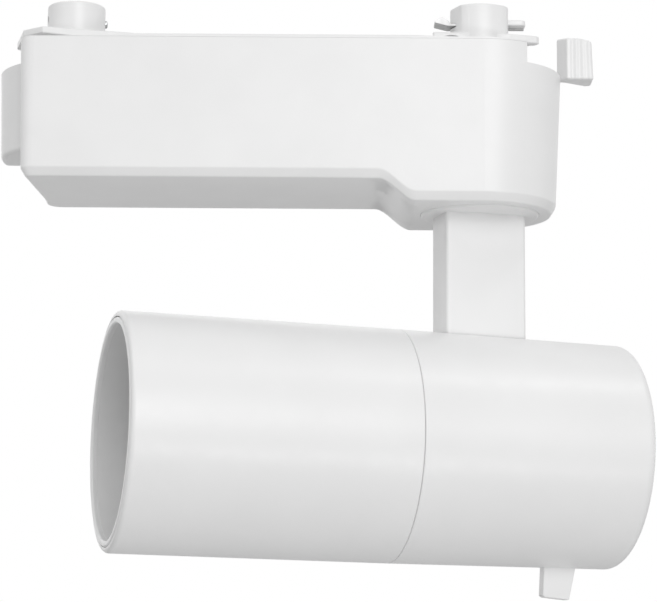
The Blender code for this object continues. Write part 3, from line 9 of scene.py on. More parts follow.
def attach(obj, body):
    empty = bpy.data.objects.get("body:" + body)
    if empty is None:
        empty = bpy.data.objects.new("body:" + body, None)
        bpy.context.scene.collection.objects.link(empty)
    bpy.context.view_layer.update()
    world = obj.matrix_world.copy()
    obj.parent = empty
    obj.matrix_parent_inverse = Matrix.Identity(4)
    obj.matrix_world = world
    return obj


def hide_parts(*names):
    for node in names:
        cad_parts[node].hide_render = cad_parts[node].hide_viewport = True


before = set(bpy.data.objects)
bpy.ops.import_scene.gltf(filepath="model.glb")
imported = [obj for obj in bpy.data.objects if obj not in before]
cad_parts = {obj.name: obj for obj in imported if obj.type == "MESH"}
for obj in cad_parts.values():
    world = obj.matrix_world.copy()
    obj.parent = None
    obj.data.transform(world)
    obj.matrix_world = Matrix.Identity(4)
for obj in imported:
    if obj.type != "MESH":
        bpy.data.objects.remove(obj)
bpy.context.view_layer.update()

# Adaptor housing: the long box that hangs under the track and holds the driver. White ABS, moulded in
# one shot with a half-round right end, a deeper right part, a round boss on the left end and drafted
# walls; the wall is cut down at the back and the ends where the two levers swing.

MM = 0.001
POST_X = 48.45
HALF_WIDTH = 19.6
LEFT_WALL, LEFT_LEAN = -59.5, 0.058
NECK_X = 58.6
CORNER, BACK_CORNER = 3.4, 5.0
WALL = 2.0
# Draft as inset per mm of depth: the same all round but hardly any at the back, and double at the right end.
DRAFT, END_DRAFT = 0.022, 0.0215
SHALLOW, DEEP = -33.65, -38.85
SLOPE_START, SLOPE_END = 23.8, 32.8
SEAM_Z, NOTCH_Z, LEDGE_Z = -0.82, -5.4, -5.5
BOSS_TIP, BOSS_RADIUS, BOSS_MIDDLE, BOSS_FOOT = -66.35, 19.5, 2.4, -26.5
BOSS_NEAR, BOSS_FAR = -12.3, 8.4
SEAT_RADIUS, SEAT_Z, THROAT_RADIUS = 14.1, -38.5, 4.3
# The bottom edge is a steep chamfer between two small rounds: inset and height above the underside.
BOTTOM_EDGE = [(0.0, 2.25), (0.03, 2.0), (0.12, 1.78), (0.5, 1.12), (0.9, 0.44), (1.02, 0.24), (1.22, 0.06), (1.5, 0.0)]


def linear(code):
    """An sRGB hex colour as linear RGBA: below 0.04045 a straight line, above it the 2.4 power curve."""
    srgb = np.array([int(code[place : place + 2], 16) for place in (1, 3, 5)]) / 255
    return (*np.where(srgb <= 0.04045, srgb / 12.92, ((srgb + 0.055) / 1.055) ** 2.4), 1.0)


def node(tree, kind, links=None, **values):
    """Adds a node: values go to its settings or else to its sockets, links join sockets to outputs."""
    made = tree.nodes.new(kind)
    for name, value in values.items():
        if hasattr(made, name):
            setattr(made, name, value)
        else:
            made.inputs[name.replace("_", " ")].default_value = value
    for socket, output in (links or {}).items():
        tree.links.new(output, made.inputs[socket])
    return made


def finish(name, tones, cloud, gloss, grain, relief, **sockets):
    """A material whose two tones drift into each other in clouds of a size in mm, with a roughness that
    runs over the gloss range in a finer grain and a bump of the relief in mm on that grain. Gives the
    material and the two pattern nodes by name, for finishes that add to them.
    """
    made = bpy.data.materials.new(name)
    made.use_nodes = True
    tree = made.node_tree
    shader = tree.nodes["Principled BSDF"]
    for socket, value in sockets.items():
        shader.inputs[socket.replace("_", " ")].default_value = value
    place = node(tree, "ShaderNodeTexCoord", name="place").outputs["Object"]
    drift = node(tree, "ShaderNodeTexNoise", {"Vector": place}, name="drift", Scale=1 / (cloud * MM), Detail=2.0)
    tone = node(tree, "ShaderNodeValToRGB", {"Fac": drift.outputs["Fac"]}, name="tone")
    for stop, at, code in zip(tone.color_ramp.elements, (0.3, 0.7), tones):
        stop.position, stop.color = at, linear(code)
    fine = node(tree, "ShaderNodeTexNoise", {"Vector": place}, name="fine", Scale=1 / (grain * MM), Detail=3.0)
    sheen = node(tree, "ShaderNodeMapRange", {"Value": fine.outputs["Fac"]}, name="sheen",
                 From_Min=0.3, From_Max=0.7, To_Min=gloss[0], To_Max=gloss[1])
    bump = node(tree, "ShaderNodeBump", {"Height": fine.outputs["Fac"]}, name="bump", Strength=0.5, Distance=relief * MM)
    tree.links.new(tone.outputs["Color"], shader.inputs["Base Color"])
    tree.links.new(sheen.outputs["Result"], shader.inputs["Roughness"])
    tree.links.new(bump.outputs["Normal"], shader.inputs["Normal"])
    return made


def mesh_of(name, *sheets):
    """Quads between neighbours of each grid (rows, columns, 3) in mm, closed round its columns; points
    that meet are merged, so poles and seams close, and an end left open is filled by one face.
    """
    corners, quads, first = [], [], 0
    for sheet in sheets:
        rows, columns = sheet.shape[:2]
        index = first + np.arange(rows * columns).reshape(rows, columns)
        around = np.roll(index, -1, axis=1)
        quads.append(np.stack([index[:-1], around[:-1], around[1:], index[1:]], axis=-1).reshape(-1, 4))
        corners.append(sheet.reshape(-1, 3))
        first += rows * columns
    made = bpy.data.meshes.new(name)
    made.from_pydata(np.concatenate(corners) * MM, [], np.concatenate(quads))
    shape = bmesh.new()
    shape.from_mesh(made)
    bmesh.ops.remove_doubles(shape, verts=shape.verts, dist=1e-7)
    bmesh.ops.holes_fill(shape, edges=shape.edges)
    bmesh.ops.recalc_face_normals(shape, faces=shape.faces)
    shape.to_mesh(made)
    shape.free()
    return made


def dress(mesh, material, body, slot, *nodes):
    """Shows a mesh as a piece named as its mesh: smooth apart from edges over 30 degrees, riding on a
    body in place of its CAD nodes.
    """
    mesh.materials.clear()
    mesh.materials.append(material)
    mesh.shade_smooth()
    mesh.set_sharp_from_angle(angle=math.radians(30))
    made = bpy.data.objects.new(mesh.name, mesh)
    bpy.context.scene.collection.objects.link(made)
    even = made.modifiers.new("even_normals", "WEIGHTED_NORMAL")
    even.keep_sharp = True
    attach(made, body)
    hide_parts(*nodes)
    return made


def smooth_step(value, low, high):
    """Eases from 0 to 1 between two values: three times the square less twice the cube."""
    share = np.clip((value - low) / (high - low), 0, 1)
    return share * share * (3 - 2 * share)


def underside(x):
    """Height of the adaptor's underside: shallow on the left, eased down to the deep right part."""
    return SHALLOW + (DEEP - SHALLOW) * smooth_step(x, SLOPE_START, SLOPE_END)


def runs(*stops):
    """Even samples between neighbouring stops (value, count), a hair short of each so that a wall may
    change its height between two columns.
    """
    hair = 0.004
    parts = []
    for (start, _), (end, count) in zip(stops, stops[1:]):
        parts.append(np.linspace(start + (end - start) * hair, end - (end - start) * hair, count))
    return np.concatenate(parts)


def adaptor_plan():
    """Plan outline, anticlockwise from the front left corner: points and outward normals; straight sides
    and corner arcs in turn, with the half-round right end about the right post and a left wall that
    leans in a little towards the back.
    """
    front, back = CORNER - HALF_WIDTH, HALF_WIDTH - BACK_CORNER
    back_left = LEFT_WALL + LEFT_LEAN * (back - front)
    front_x = runs((LEFT_WALL + CORNER, 0), (SLOPE_START, 24), (SLOPE_END, 30), (POST_X, 6))
    end = np.radians(runs((-90, 0), (-58.8, 14), (-10, 26), (58.8, 34), (90, 14)))
    back_x = runs((POST_X, 0), (38.0, 6), (SLOPE_END, 3), (SLOPE_START, 30), (-40.5, 20), (back_left + BACK_CORNER, 6))
    turn = np.linspace(0, math.pi / 2, 9)[1:-1]
    wall_y = runs((back, 0), (BOSS_FAR, 4), (-3.08, 30), (BOSS_NEAR, 22), (front, 4))
    bearing = np.concatenate([0 * front_x - math.pi / 2, end, 0 * back_x + math.pi / 2,
                              math.pi / 2 + turn, 0 * wall_y + math.pi, math.pi + turn])
    normal = np.stack([np.cos(bearing), np.sin(bearing)], axis=1)
    sides = [np.stack([front_x, 0 * front_x - HALF_WIDTH], axis=1),
             np.stack([POST_X + HALF_WIDTH * np.cos(end), HALF_WIDTH * np.sin(end)], axis=1),
             np.stack([back_x, 0 * back_x + HALF_WIDTH], axis=1),
             np.stack([back_left + BACK_CORNER * (1 - np.sin(turn)), back + BACK_CORNER * np.cos(turn)], axis=1),
             np.stack([LEFT_WALL + LEFT_LEAN * (wall_y - front), wall_y], axis=1),
             np.stack([LEFT_WALL + CORNER * (1 - np.cos(turn)), front - CORNER * np.sin(turn)], axis=1)]
    return np.concatenate(sides), normal


def adaptor_shell():
    """The housing as one surface closed both ways: the plan outline is carried up the inside of the wall,
    over its top, down the drafted outside, round the bottom edge, along the underside to the round seat
    of the pan collar, up its throat and back along the inner floor.
    """
    plan, normal = adaptor_plan()
    x, y = plan[:, 0], plan[:, 1]
    bearing = np.degrees(np.arctan2(y, x - POST_X))
    left_bearing = np.degrees(np.arctan2(y, x + POST_X)) % 360
    at_end = np.abs(bearing) < 58.8
    notched = ((bearing > -10) & (bearing < 118)) | ((left_bearing > 68) & (left_bearing < 196))
    top = np.where(notched, NOTCH_Z, SEAM_Z)
    ease = np.where(notched, 0.02, 0.05)
    low = underside(x)
    slant = DRAFT * (1 - 0.9 * np.maximum(normal[:, 1], 0)) + END_DRAFT * np.maximum(normal[:, 0], 0)
    keep = 1 - 0.85 * np.maximum(normal[:, 1], 0)
    across = np.where(at_end, (NECK_X - POST_X) * np.tan(np.radians(np.where(at_end, bearing, 0))), y)

    def ring(inset, height):
        moved = plan - normal * (inset + slant * (SEAM_Z - height))[:, None]
        return np.column_stack([moved, np.broadcast_to(height, x.shape)])

    def rim(neck_x, inset, height, end_height=None):
        outer = ring(inset, height)
        end_height = height if end_height is None else end_height
        neck = np.column_stack([0 * x + neck_x, across, np.broadcast_to(end_height, x.shape)])
        return np.where(at_end[:, None], neck, outer)

    def ledge(end_inset, end_height, drop):
        outer = ring(0.0, top - ease * drop)
        return np.where(at_end[:, None], ring(end_inset, end_height), outer)

    bossed = (x < LEFT_WALL + 1.2) & (y > BOSS_NEAR) & (y < BOSS_FAR)
    bulge = BOSS_RADIUS - np.sqrt(np.maximum(BOSS_RADIUS**2 - (y - BOSS_MIDDLE) ** 2, 0))

    def boss(height, inset=0.0):
        outer = ring(0.0, height)
        boss_x = BOSS_TIP + 0.027 * (LEDGE_Z - height) + bulge + inset
        outer[:, 0] = np.where(bossed, np.minimum(boss_x, outer[:, 0]), outer[:, 0])
        return outer

    neck_in = NECK_X - 1.2
    rows = [rim(neck_in, WALL, -7.4), rim(neck_in, WALL, top)]
    rows += [rim(NECK_X - 0.16, ease, top), rim(NECK_X - 0.05, 0.3 * ease, top - 0.3 * ease)]
    rows += [rim(NECK_X, 0.0, top - ease), rim(NECK_X, 0.0, top - 1.2 * ease, LEDGE_Z)]
    rows += [ledge(0.25, LEDGE_Z, 1.4), ledge(0.07, LEDGE_Z - 0.07, 1.6), ledge(0.0, LEDGE_Z - 0.25, 1.8)]
    rows += [ring(0.0, np.where(at_end, -5.9, -5.45)), boss(np.where(at_end, -6.0, -5.53))]
    rows += [boss(height) for height in (-8.0, -14.0, -20.0, BOSS_FOOT + 1.2)]
    rows += [boss(BOSS_FOOT + rise, inset) for rise, inset in ((0.74, 0.09), (0.35, 0.35), (0.09, 0.74), (0.0, 1.2))]
    rows += [ring(0.0, BOSS_FOOT - 0.03)]
    rows += [ring(inset * keep, low + height * keep) for inset, height in BOTTOM_EDGE]
    centre = np.array([POST_X, 0.0])
    reach = rows[-1][:, :2] - centre
    span = np.linalg.norm(reach, axis=1, keepdims=True)
    for share in (1 - np.linspace(0, 1, 60)[1:]) ** 1.5:
        flat = centre + reach / span * (SEAT_RADIUS + (span - SEAT_RADIUS) * share)
        rows.append(np.column_stack([flat, underside(flat[:, 0])]))
    for radius, height in ((SEAT_RADIUS, SEAT_Z), (THROAT_RADIUS, SEAT_Z), (THROAT_RADIUS, DEEP + 4.0)):
        rows.append(np.column_stack([centre + reach / span * radius, 0 * x + height]))
    inner = span - 1.0
    for share in np.linspace(0, 1, 20)[1:] ** 1.5:
        flat = centre + reach / span * (THROAT_RADIUS + (inner - THROAT_RADIUS) * share)
        thick = 2.4 + 1.6 * smooth_step(flat[:, 0], SLOPE_START - 4, SLOPE_START)
        rows.append(np.column_stack([flat, underside(flat[:, 0]) + thick]))
    rows += [ring(WALL, -7.5), rows[0]]
    return np.stack(rows)


# ABS straight from a spark-eroded mould: a soft satin sheen over a fine even grain, and a faint
# unevenness of tone where the melt flowed. The real grain of 0.1 mm is drawn at 0.45 mm so that it shows.
white_abs = finish("white_abs_spark_textured", ("#ECECEC", "#EFEFEF"), 14, (0.3, 0.38), 0.45, 0.008, IOR=1.53)

dress(mesh_of("adaptor_shell", adaptor_shell()), white_abs, "adaptor", "white_plastic", "adaptor_housing")

# Driver: the circuit that turns mains into current for the light source, on a board screwed to two
# pillars. Glass fibre board with solder mask, a ferrite transformer, two sleeved capacitors, a wound
# choke and silicone leads up to the contacts and down to the stem; all of it hidden once the lid is on.


def coat(material, *names):
    """Gives the CAD pieces of these names a finish in place of their plain one."""
    for name in names:
        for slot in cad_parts[name].material_slots:
            slot.material = material


# Solder mask printed over etched copper: glossy dark green, with lighter tracks of 1.2 mm under it.
solder_mask = finish("green_solder_mask_on_glass_fibre", ("#1F5A38", "#27663F"), 6, (0.25, 0.4), 0.5, 0.01)
tree = solder_mask.node_tree
tracks = node(tree, "ShaderNodeTexBrick", {"Vector": tree.nodes["place"].outputs["Object"]},
              Scale=1 / (8 * MM), Mortar_Size=0.07, Mortar_Smooth=0.1, Color1=linear("#1F5A38"),
              Color2=linear("#246240"), Mortar=linear("#3C8055"))
tree.links.new(tracks.outputs["Color"], tree.nodes["Principled BSDF"].inputs["Base Color"])
coat(solder_mask, "driver_board")

# Sintered ferrite: dull charcoal with a fine sandy grain.
ferrite = finish("sintered_ferrite", ("#2B2B2D", "#38383A"), 3, (0.5, 0.75), 0.4, 0.02)
coat(ferrite, "driver_transformer")

# Shrunk sleeve: dark blue film, tight and smooth, with the faint ripples of shrinking.
sleeve = finish("shrunk_capacitor_sleeve", ("#1B2238", "#242C46"), 5, (0.2, 0.35), 1.5, 0.03)
coat(sleeve, "driver_capacitor_1", "driver_capacitor_2")

# Enamelled wire of 0.4 mm wound side by side: bright copper lines round the drum.
winding = finish("enamelled_copper_winding", ("#A5562B", "#B9683A"), 2, (0.25, 0.4), 0.6, 0.01, Metallic=1.0)
tree = winding.node_tree
turns = node(tree, "ShaderNodeTexWave", {"Vector": tree.nodes["place"].outputs["Object"]},
             bands_direction="Z", Scale=math.pi / (10 * 0.4 * MM))
tree.links.new(turns.outputs["Fac"], tree.nodes["bump"].inputs["Height"])
tree.nodes["bump"].inputs["Distance"].default_value = 0.15 * MM
coat(winding, "driver_choke")

# Silicone lead: soft dull white, slightly dusty.
lead_sleeve = finish("silicone_lead_sleeve", ("#D6D3CC", "#E0DDD7"), 4, (0.55, 0.7), 0.4, 0.01)
coat(lead_sleeve, "live_lead", "neutral_lead", "output_lead")

# Zinc-plated steel: bright with a faint bluish bloom, and a roughness that varies where the bath ran.
zinc_steel = finish("zinc_plated_steel", ("#B2B4B5", "#C6C7C7"), 1.6, (0.24, 0.42), 0.5, 0.01, Metallic=1.0)
coat(zinc_steel, "board_screw_1", "board_screw_2")

# Adaptor lid: the flat plate that closes the box and lies against the track. The same white ABS, with
# two round holes for the posts and a shallow ramp down under each wing plate, held by four cross-head screws.

LID_EDGE = 0.8


def offset(outline, inset):
    """An outline moved inwards: each point goes along the bisector of its two sides, far enough that
    both sides move by the inset.
    """
    side = np.roll(outline, -1, axis=0) - outline
    side /= np.linalg.norm(side, axis=1, keepdims=True)
    out = np.stack([side[:, 1], -side[:, 0]], axis=1)
    before = np.roll(out, 1, axis=0)
    share = 1 + np.sum(out * before, axis=1, keepdims=True)
    return outline - inset * (out + before) / share


def slab(outline, rows):
    """An anticlockwise outline carried up through rows of (inset, height), with a pole in the middle of
    each end face.
    """
    rings = [np.column_stack([offset(outline, inset), np.full(len(outline), height)]) for inset, height in rows]
    foot, head = rings[0].mean(axis=0), rings[-1].mean(axis=0)
    return np.stack([0 * rings[0] + foot, *rings, 0 * rings[0] + head])


def eased_rows(low, high, ease):
    """Rows of a slab whose two edges are rounded: quarter circles of the ease's radius."""
    turn = np.linspace(0, math.pi / 2, 6)
    inset, rise = ease * (1 - np.sin(turn)), ease * (1 - np.cos(turn))
    return list(zip(inset, low + rise)) + list(zip(inset[::-1], high - rise[::-1]))


def eased(corners, steps=7):
    """A closed outline of (x, y, radius) corners, each rounded by an arc that touches both its sides:
    it starts and ends at the radius over the tangent of half the corner's angle.
    """
    corners = np.asarray(corners, float)
    point, radius = corners[:, :2], corners[:, 2:]
    back = np.roll(point, 1, axis=0) - point
    ahead = np.roll(point, -1, axis=0) - point
    back /= np.linalg.norm(back, axis=1, keepdims=True)
    ahead /= np.linalg.norm(ahead, axis=1, keepdims=True)
    half = np.arccos(np.clip(np.sum(back * ahead, axis=1, keepdims=True), -1, 1)) / 2
    middle = (back + ahead) / np.linalg.norm(back + ahead, axis=1, keepdims=True)
    centre = point + middle * radius / np.sin(half)
    start = point + back * radius / np.tan(half) - centre
    end = point + ahead * radius / np.tan(half) - centre
    sweep = (math.pi - 2 * half)[:, None]
    share = np.linspace(0, 1, steps)[None, :, None]
    arc = (np.sin((1 - share) * sweep) * start[:, None] + np.sin(share * sweep) * end[:, None]) / np.sin(sweep)
    outline = (centre[:, None] + arc).reshape(-1, 2)
    gap = np.linalg.norm(outline - np.roll(outline, 1, axis=0), axis=1)
    return outline[gap > 1e-6]


def turned(profile, count):
    """A profile of (along, radius) points turned about the X axis."""
    angle = np.linspace(0, 2 * math.pi, count, endpoint=False)
    along, radius = np.asarray(profile, float).T
    wide, high = radius[:, None] * np.cos(angle), radius[:, None] * np.sin(angle)
    return np.stack([np.repeat(along[:, None], count, axis=1), wide, high], axis=-1)


def upright(points):
    """Turns what lies along X to stand along Z: (x, y, z) goes to (y, z, x)."""
    return points[..., [1, 2, 0]]


def disc(radius, low, high, count=72):
    """A plain round slug standing along Z, for cutting."""
    return upright(turned([(low, 0.0), (low, radius), (high, radius), (high, 0.0)], count))


def brick(low, high):
    """A plain block between two corners, for cutting."""
    outline = np.array([(low[0], low[1]), (high[0], low[1]), (high[0], high[1]), (low[0], high[1])], float)
    return slab(outline, [(0.0, low[2]), (0.0, high[2])])


def worked(mesh, *steps):
    """A closed mesh after Boolean steps of (operation, grid), as a blank is machined or a moulding grows."""
    blank = bpy.data.objects.new("blank", mesh)
    bpy.context.scene.collection.objects.link(blank)
    tools = []
    for operation, sheet in steps:
        tool = bpy.data.objects.new("tool", mesh_of("tool", sheet))
        bpy.context.scene.collection.objects.link(tool)
        step = blank.modifiers.new("step", "BOOLEAN")
        step.operation, step.solver, step.object = operation, "MANIFOLD", tool
        tools.append(tool)
    made = bpy.data.meshes.new_from_object(blank.evaluated_get(bpy.context.evaluated_depsgraph_get()))
    name = mesh.name
    for used in (*tools, blank):
        old = used.data
        bpy.data.objects.remove(used)
        bpy.data.meshes.remove(old)
    made.name = name
    return made


outline = adaptor_plan()[0]
outline[:, 0] = np.minimum(outline[:, 0], NECK_X)
edge = [(0.0, -LID_EDGE), (0.0, -0.4), (0.054, -0.2), (0.2, -0.054), (0.4, 0.0)]
screw_places = [(x, y, 0) for x in (-25.0, 25.0) for y in (-13.6, 13.6)]
steps = [("UNION", brick((-57.0, -17.3, -2.4), (57.1, 17.3, -0.5)))]
for side, deep in ((-1, 0.7), (1, 0.4)):
    ramp = np.array([(-64, -deep), (-41, -deep), (-31.5, 0), (-31.5, 5), (-64, 5)], float)
    steps.append(("DIFFERENCE", slab(ramp, [(0.0, -30), (0.0, 30)])[..., [0, 2, 1]] * (-side, 1, 1)))
# The back edge is relieved round each post, where the grips of the two levers sweep past.
for side, sweep in ((-1, (150, 70)), (1, (122, 48))):
    arc = np.radians(np.linspace(*sweep, 40))
    way = np.column_stack([np.cos(arc), np.sin(arc)])
    path = slab(np.concatenate([19.2 * way, 30 * way[::-1]])[::-1], [(0.0, -5), (0.0, 5)])
    steps.append(("DIFFERENCE", path + (side * POST_X, 0, 0)))
for side in (-1, 1):
    steps.append(("DIFFERENCE", disc(8.3, -1.6, 9.0) + (side * POST_X, 0, 0)))
    steps.append(("DIFFERENCE", disc(7.2, -9.0, 9.0) + (side * POST_X, 0, 0)))
for place in screw_places:
    steps.append(("DIFFERENCE", disc(2.9, -2.1, 9.0, 40) + place))
    steps.append(("DIFFERENCE", disc(1.6, -9.0, 9.0, 32) + place))
lid = worked(mesh_of("adaptor_cover", slab(outline, edge)), *steps)
dress(lid, white_abs, "adaptor", "white_plastic", "adaptor_lid")

profile = eased([(-10.8, 0, 0), (-10.8, 1.3, 0.5), (-1.8, 1.3, 0.1), (-1.8, 2.6, 0.15), (-0.3, 2.6, 0.9), (-0.3, 0, 0)])
for number, place in enumerate(screw_places, 1):
    bearing = math.radians(37 * number)
    lie = np.array(Matrix.Rotation(bearing, 3, "Z")).T
    slots = [brick((-1.5, -0.28, -1.2), (1.5, 0.28, 1.0)), brick((-0.28, -1.5, -1.2), (0.28, 1.5, 1.0))]
    blank = mesh_of(f"lid_cross_screw_{number}", upright(turned(profile, 40)) + place)
    screw = worked(blank, *[("DIFFERENCE", slot @ lie + place) for slot in slots])
    dress(screw, zinc_steel, "adaptor", "steel", f"lid_screw_{number}")

# Contact post: the right post, which goes up into the track and is turned to connect. White moulded ABS
# with a wing plate that grips the track's lips, a flat at the front and a tab over the neutral contact;
# a split ring in a groove keeps it in the lid.

POST_RADIUS, POST_TOP = 6.9, 11.4


def post_blank(rim):
    """A post turned about Z: rounded rim, straight body, ring groove, and a narrower neck for the lever."""
    profile = eased([(POST_TOP, 0, 0), (POST_TOP, POST_RADIUS, rim), (-0.4, POST_RADIUS, 0.1), (-0.4, 5.9, 0.1),
                     (-1.6, 5.9, 0.1), (-1.6, POST_RADIUS, 0.1), (-2.4, POST_RADIUS, 0.1), (-2.4, 5.0, 0.1),
                     (-5.0, 5.0, 0.2), (-5.0, 0, 0)])
    return upright(turned(profile, 120))


def swelled(points):
    """A post made fuller at its front right and flatter at its front: above the lid its radius gains one
    bell curve over the bearing and loses another.
    """
    bearing = np.degrees(np.arctan2(points[..., 1], points[..., 0]))
    gain = 0.6 * np.exp(-(((bearing + 32) / 18) ** 2)) - 0.25 * np.exp(-(((bearing + 90) / 25) ** 2))
    share = 1 + np.where(points[..., 2] > -0.45, gain, 0) / POST_RADIUS
    return points * np.stack([share, share, 0 * share + 1], axis=-1)


at_right, at_left = np.array([POST_X, 0, 0]), np.array([-POST_X, 0, 0])
flat_turn = np.array(Matrix.Rotation(math.radians(205), 3, "Z")).T
wing = slab(eased([(-11.48, -6.85, 0.6), (7.0, -5.5, 3.0), (13.5, -3.6, 0.9), (14.3, -2.6, 0.6), (13.4, -1.3, 0.6),
                   (5.0, 1.2, 0.4), (5.0, 6.0, 0.4), (-10.5, 6.0, 1.0)]), eased_rows(2.45, 4.3, 0.3))
arch = turned([(-9, 0), (-9, 4.5), (-2, 4.5), (-2, 0)], 96)[..., [1, 0, 2]] * (-1, 1, 1) + (-6.9, 0, -0.9)
tab = slab(eased([(0, -2, 0.3), (11.1, -2, 1.2), (11.1, 2, 1.2), (0, 2, 0.3)]), eased_rows(7.3, 8.65, 0.3))
steps = [("UNION", wing), ("DIFFERENCE", arch), ("DIFFERENCE", brick((6.3, -12, 5.2), (12, 12, 20)) @ flat_turn), ("UNION", tab)]
for tail, mouth, low, high in (((-4.5, -3.3), (-11, -3.3), 6.7, 7.5), ((3.3, 4.5), (3.3, 11), 6.85, 7.3)):
    steps.append(("DIFFERENCE", brick((tail[0], -2.8, -20), (tail[1], 2.8, 7.3))))
    steps.append(("DIFFERENCE", brick((mouth[0], -2.8, low), (mouth[1], 2.8, high))))
blank = mesh_of("contact_post_moulding", swelled(post_blank(0.25)) + at_right)
post = worked(blank, *[(step, grid + at_right) for step, grid in steps])
# Its flat blends softly into the round, so the faces share their normals evenly.
dress(post, white_abs, "contact_cam", "white_plastic", "contact_post").modifiers.clear()
coat(zinc_steel, "contact_post_clip")

# Contacts: two strips of spring bronze pushed up slots in the contact post. The live one is folded into a
# nose that springs against the track's conductor; the neutral one lies flat under the plastic tab.

# Nickel-plated bronze: a dull grey metal with fine rolling lines of 0.2 mm, drawn at 0.3 mm, along the
# strip, and darker where it has rubbed.
spring_bronze = finish("nickel_plated_spring_bronze", ("#C4C4C4", "#D0D0D0"), 1.5, (0.5, 0.6), 0.3, 0.01, Metallic=1.0)
tree = spring_bronze.node_tree
long = node(tree, "ShaderNodeMapping", {"Vector": tree.nodes["place"].outputs["Object"]}, Scale=(0.08, 1.0, 0.08))
tree.links.new(long.outputs["Vector"], tree.nodes["fine"].inputs["Vector"])

live = eased([(3.6, -8.0, 0.2), (4.2, -8.0, 0.2), (4.2, 6.9, 0.2), (7.6, 6.9, 0.6), (11.25, 7.8, 0.3), (9.0, 9.2, 0.4),
              (7.4, 8.1, 0.3), (7.0, 7.4, 0.2), (3.6, 7.4, 0.3)])
neutral = eased([(3.6, -8.0, 0.2), (4.2, -8.0, 0.2), (4.2, 6.95, 0.2), (10.9, 6.95, 0.12), (10.9, 7.28, 0.12), (3.6, 7.28, 0.3)])
for name, outline, side, near, far in (("live_contact", live, -1, -2.6, 2.4), ("neutral_contact", neutral, 1, 0.8, 2.0)):
    strip = slab(outline, eased_rows(near, far, 0.1))[1:-1][..., [0, 2, 1]] * (side, 1, 1)
    dress(mesh_of(f"{name}_strip", strip + at_right), spring_bronze, "contact_cam", "contact_metal", name)

# Contact lever: the grip at the right end that turns the contact post. White ABS in one moulding: a hub
# on the post's neck, a flat arm out over the box's ledge and an upright grip with soft ribs; one screw
# from below holds it.

RIB_PITCH = 1.7


def grip():
    """The upright grip in the lever's own frame, X along the arm: a six-sided outline whose near side waves
    as a cosine that fades outwards, carried up, drawn in at the outer end and crowned at the top.
    """
    root, tip = np.array([21.1, -3.6]), np.array([27.3, -5.1])
    sides = eased([(*root, 0.5), (*tip, 0.9), (29.1, 1.8, 0.9), (27.6, 2.5, 0.8), (22.0, 0.6, 0.8), (19.55, 0.0, 0.4)])
    span = np.linalg.norm(tip - root)
    along = np.linspace(0.5, span - 1.0, 81)[1:-1]
    inward = np.array([root[1] - tip[1], tip[0] - root[0]]) / span
    wave = (0.36 - 0.25 * along / span) * (0.5 - 0.5 * np.cos(2 * math.pi * (along - 0.55) / RIB_PITCH))
    near = root + along[:, None] * (tip - root) / span + np.clip(along - 0.5, 0, 0.3)[:, None] / 0.3 * wave[:, None] * inward
    made = slab(np.concatenate([sides[:7], near, sides[7:]]), eased_rows(-4.9, 5.3, 0.5))
    height = np.clip((made[..., 2] + 4.9) / 10.2, 0, 1)
    beyond = np.maximum(made[..., 0] - 23.3, 0)
    made[..., 0] -= 0.6 * height * beyond / 5.8
    made[..., 2] += height * (0.1 * (made[..., 1] + 4.0) - 0.045 * beyond**2)
    return made


def lever(bearing):
    """Hub, arm and grip joined, turned by a bearing in degrees about the post's axis."""
    lie = np.array(Matrix.Rotation(math.radians(bearing), 3, "Z")).T
    ring = eased([(-5.0, 5.3, 0.1), (-5.0, 7.6, 0.25), (-2.7, 7.6, 0.25), (-2.7, 5.3, 0.1)])
    hub = upright(turned(np.vstack([ring, ring[:1]]), 96))
    arm = slab(eased([(6.1, 0.6, 0.4), (26, 0.6, 0.4), (26, 2.6, 0.4), (6.1, 2.6, 0.4)]), eased_rows(-4.3, -2.72, 0.3))
    return hub, arm @ lie, grip() @ lie


hub, arm, handle = [grid + at_right for grid in lever(14)]
grip_mesh = worked(mesh_of("contact_lever_moulding", hub), ("UNION", arm), ("UNION", handle))
dress(grip_mesh, white_abs, "contact_cam", "white_plastic", "contact_lever")
coat(zinc_steel, "contact_lever_screw")

# Latch post and lever: the left post, which only holds the adaptor in the track. The same moulding with
# its wing plate lower and turned 30 degrees, a steel pin across it, and a lever behind the box.

hole = np.array([-POST_X, 0, 7.8])
lie = np.array(Matrix.Rotation(math.radians(14.3), 3, "Z")).T
wing = slab(eased([(-9.3, -9.0, 0.5), (13.2, -9.0, 1.2), (13.2, 4.1, 0.5), (9.3, 9.0, 0.5), (-13.2, 9.0, 1.2), (-13.2, -4.1, 0.5)]),
            eased_rows(2.3, 3.9, 0.3))
# Along its front the wing is thicker and almost rests on the lid.
wing[..., 2] -= 0.9 * smooth_step(wing[..., 0], -9.3, -7.4) * (wing[..., 2] < 3.0)
steps = [("UNION", wing @ lie + at_left),
         ("DIFFERENCE", turned([(-20, 0), (-20, 1.1), (20, 1.1), (20, 0)], 32) @ lie + hole)]
post = worked(mesh_of("latch_post_moulding", post_blank(0.45) + at_left), *steps)
dress(post, white_abs, "latch", "white_plastic", "latch_post")
pin = turned(eased([(-5.2, 0, 0), (-5.2, 0.95, 0.2), (7.5, 0.95, 0.35), (7.5, 0, 0)]), 32)
dress(mesh_of("latch_cross_pin", pin @ lie + hole), zinc_steel, "latch", "steel", "latch_pin")
hub, arm, handle = [grid + at_left for grid in lever(112)]
grip_mesh = worked(mesh_of("latch_lever_moulding", hub), ("UNION", arm), ("UNION", handle))
dress(grip_mesh, white_abs, "latch", "white_plastic", "latch_lever")
coat(zinc_steel, "latch_post_clip", "latch_lever_screw")

# Pan joint: the round plate the stem turns on, seated in the box's underside. The collar is moulded white
# ABS; a brass bush runs up through it and is held inside the box by a washer and a brass nut.

PAN = math.radians(15)


def moved(points, matrix):
    """Points in mm carried by a 4 x 4 matrix in mm."""
    return points @ matrix[:3, :3].T + matrix[:3, 3]


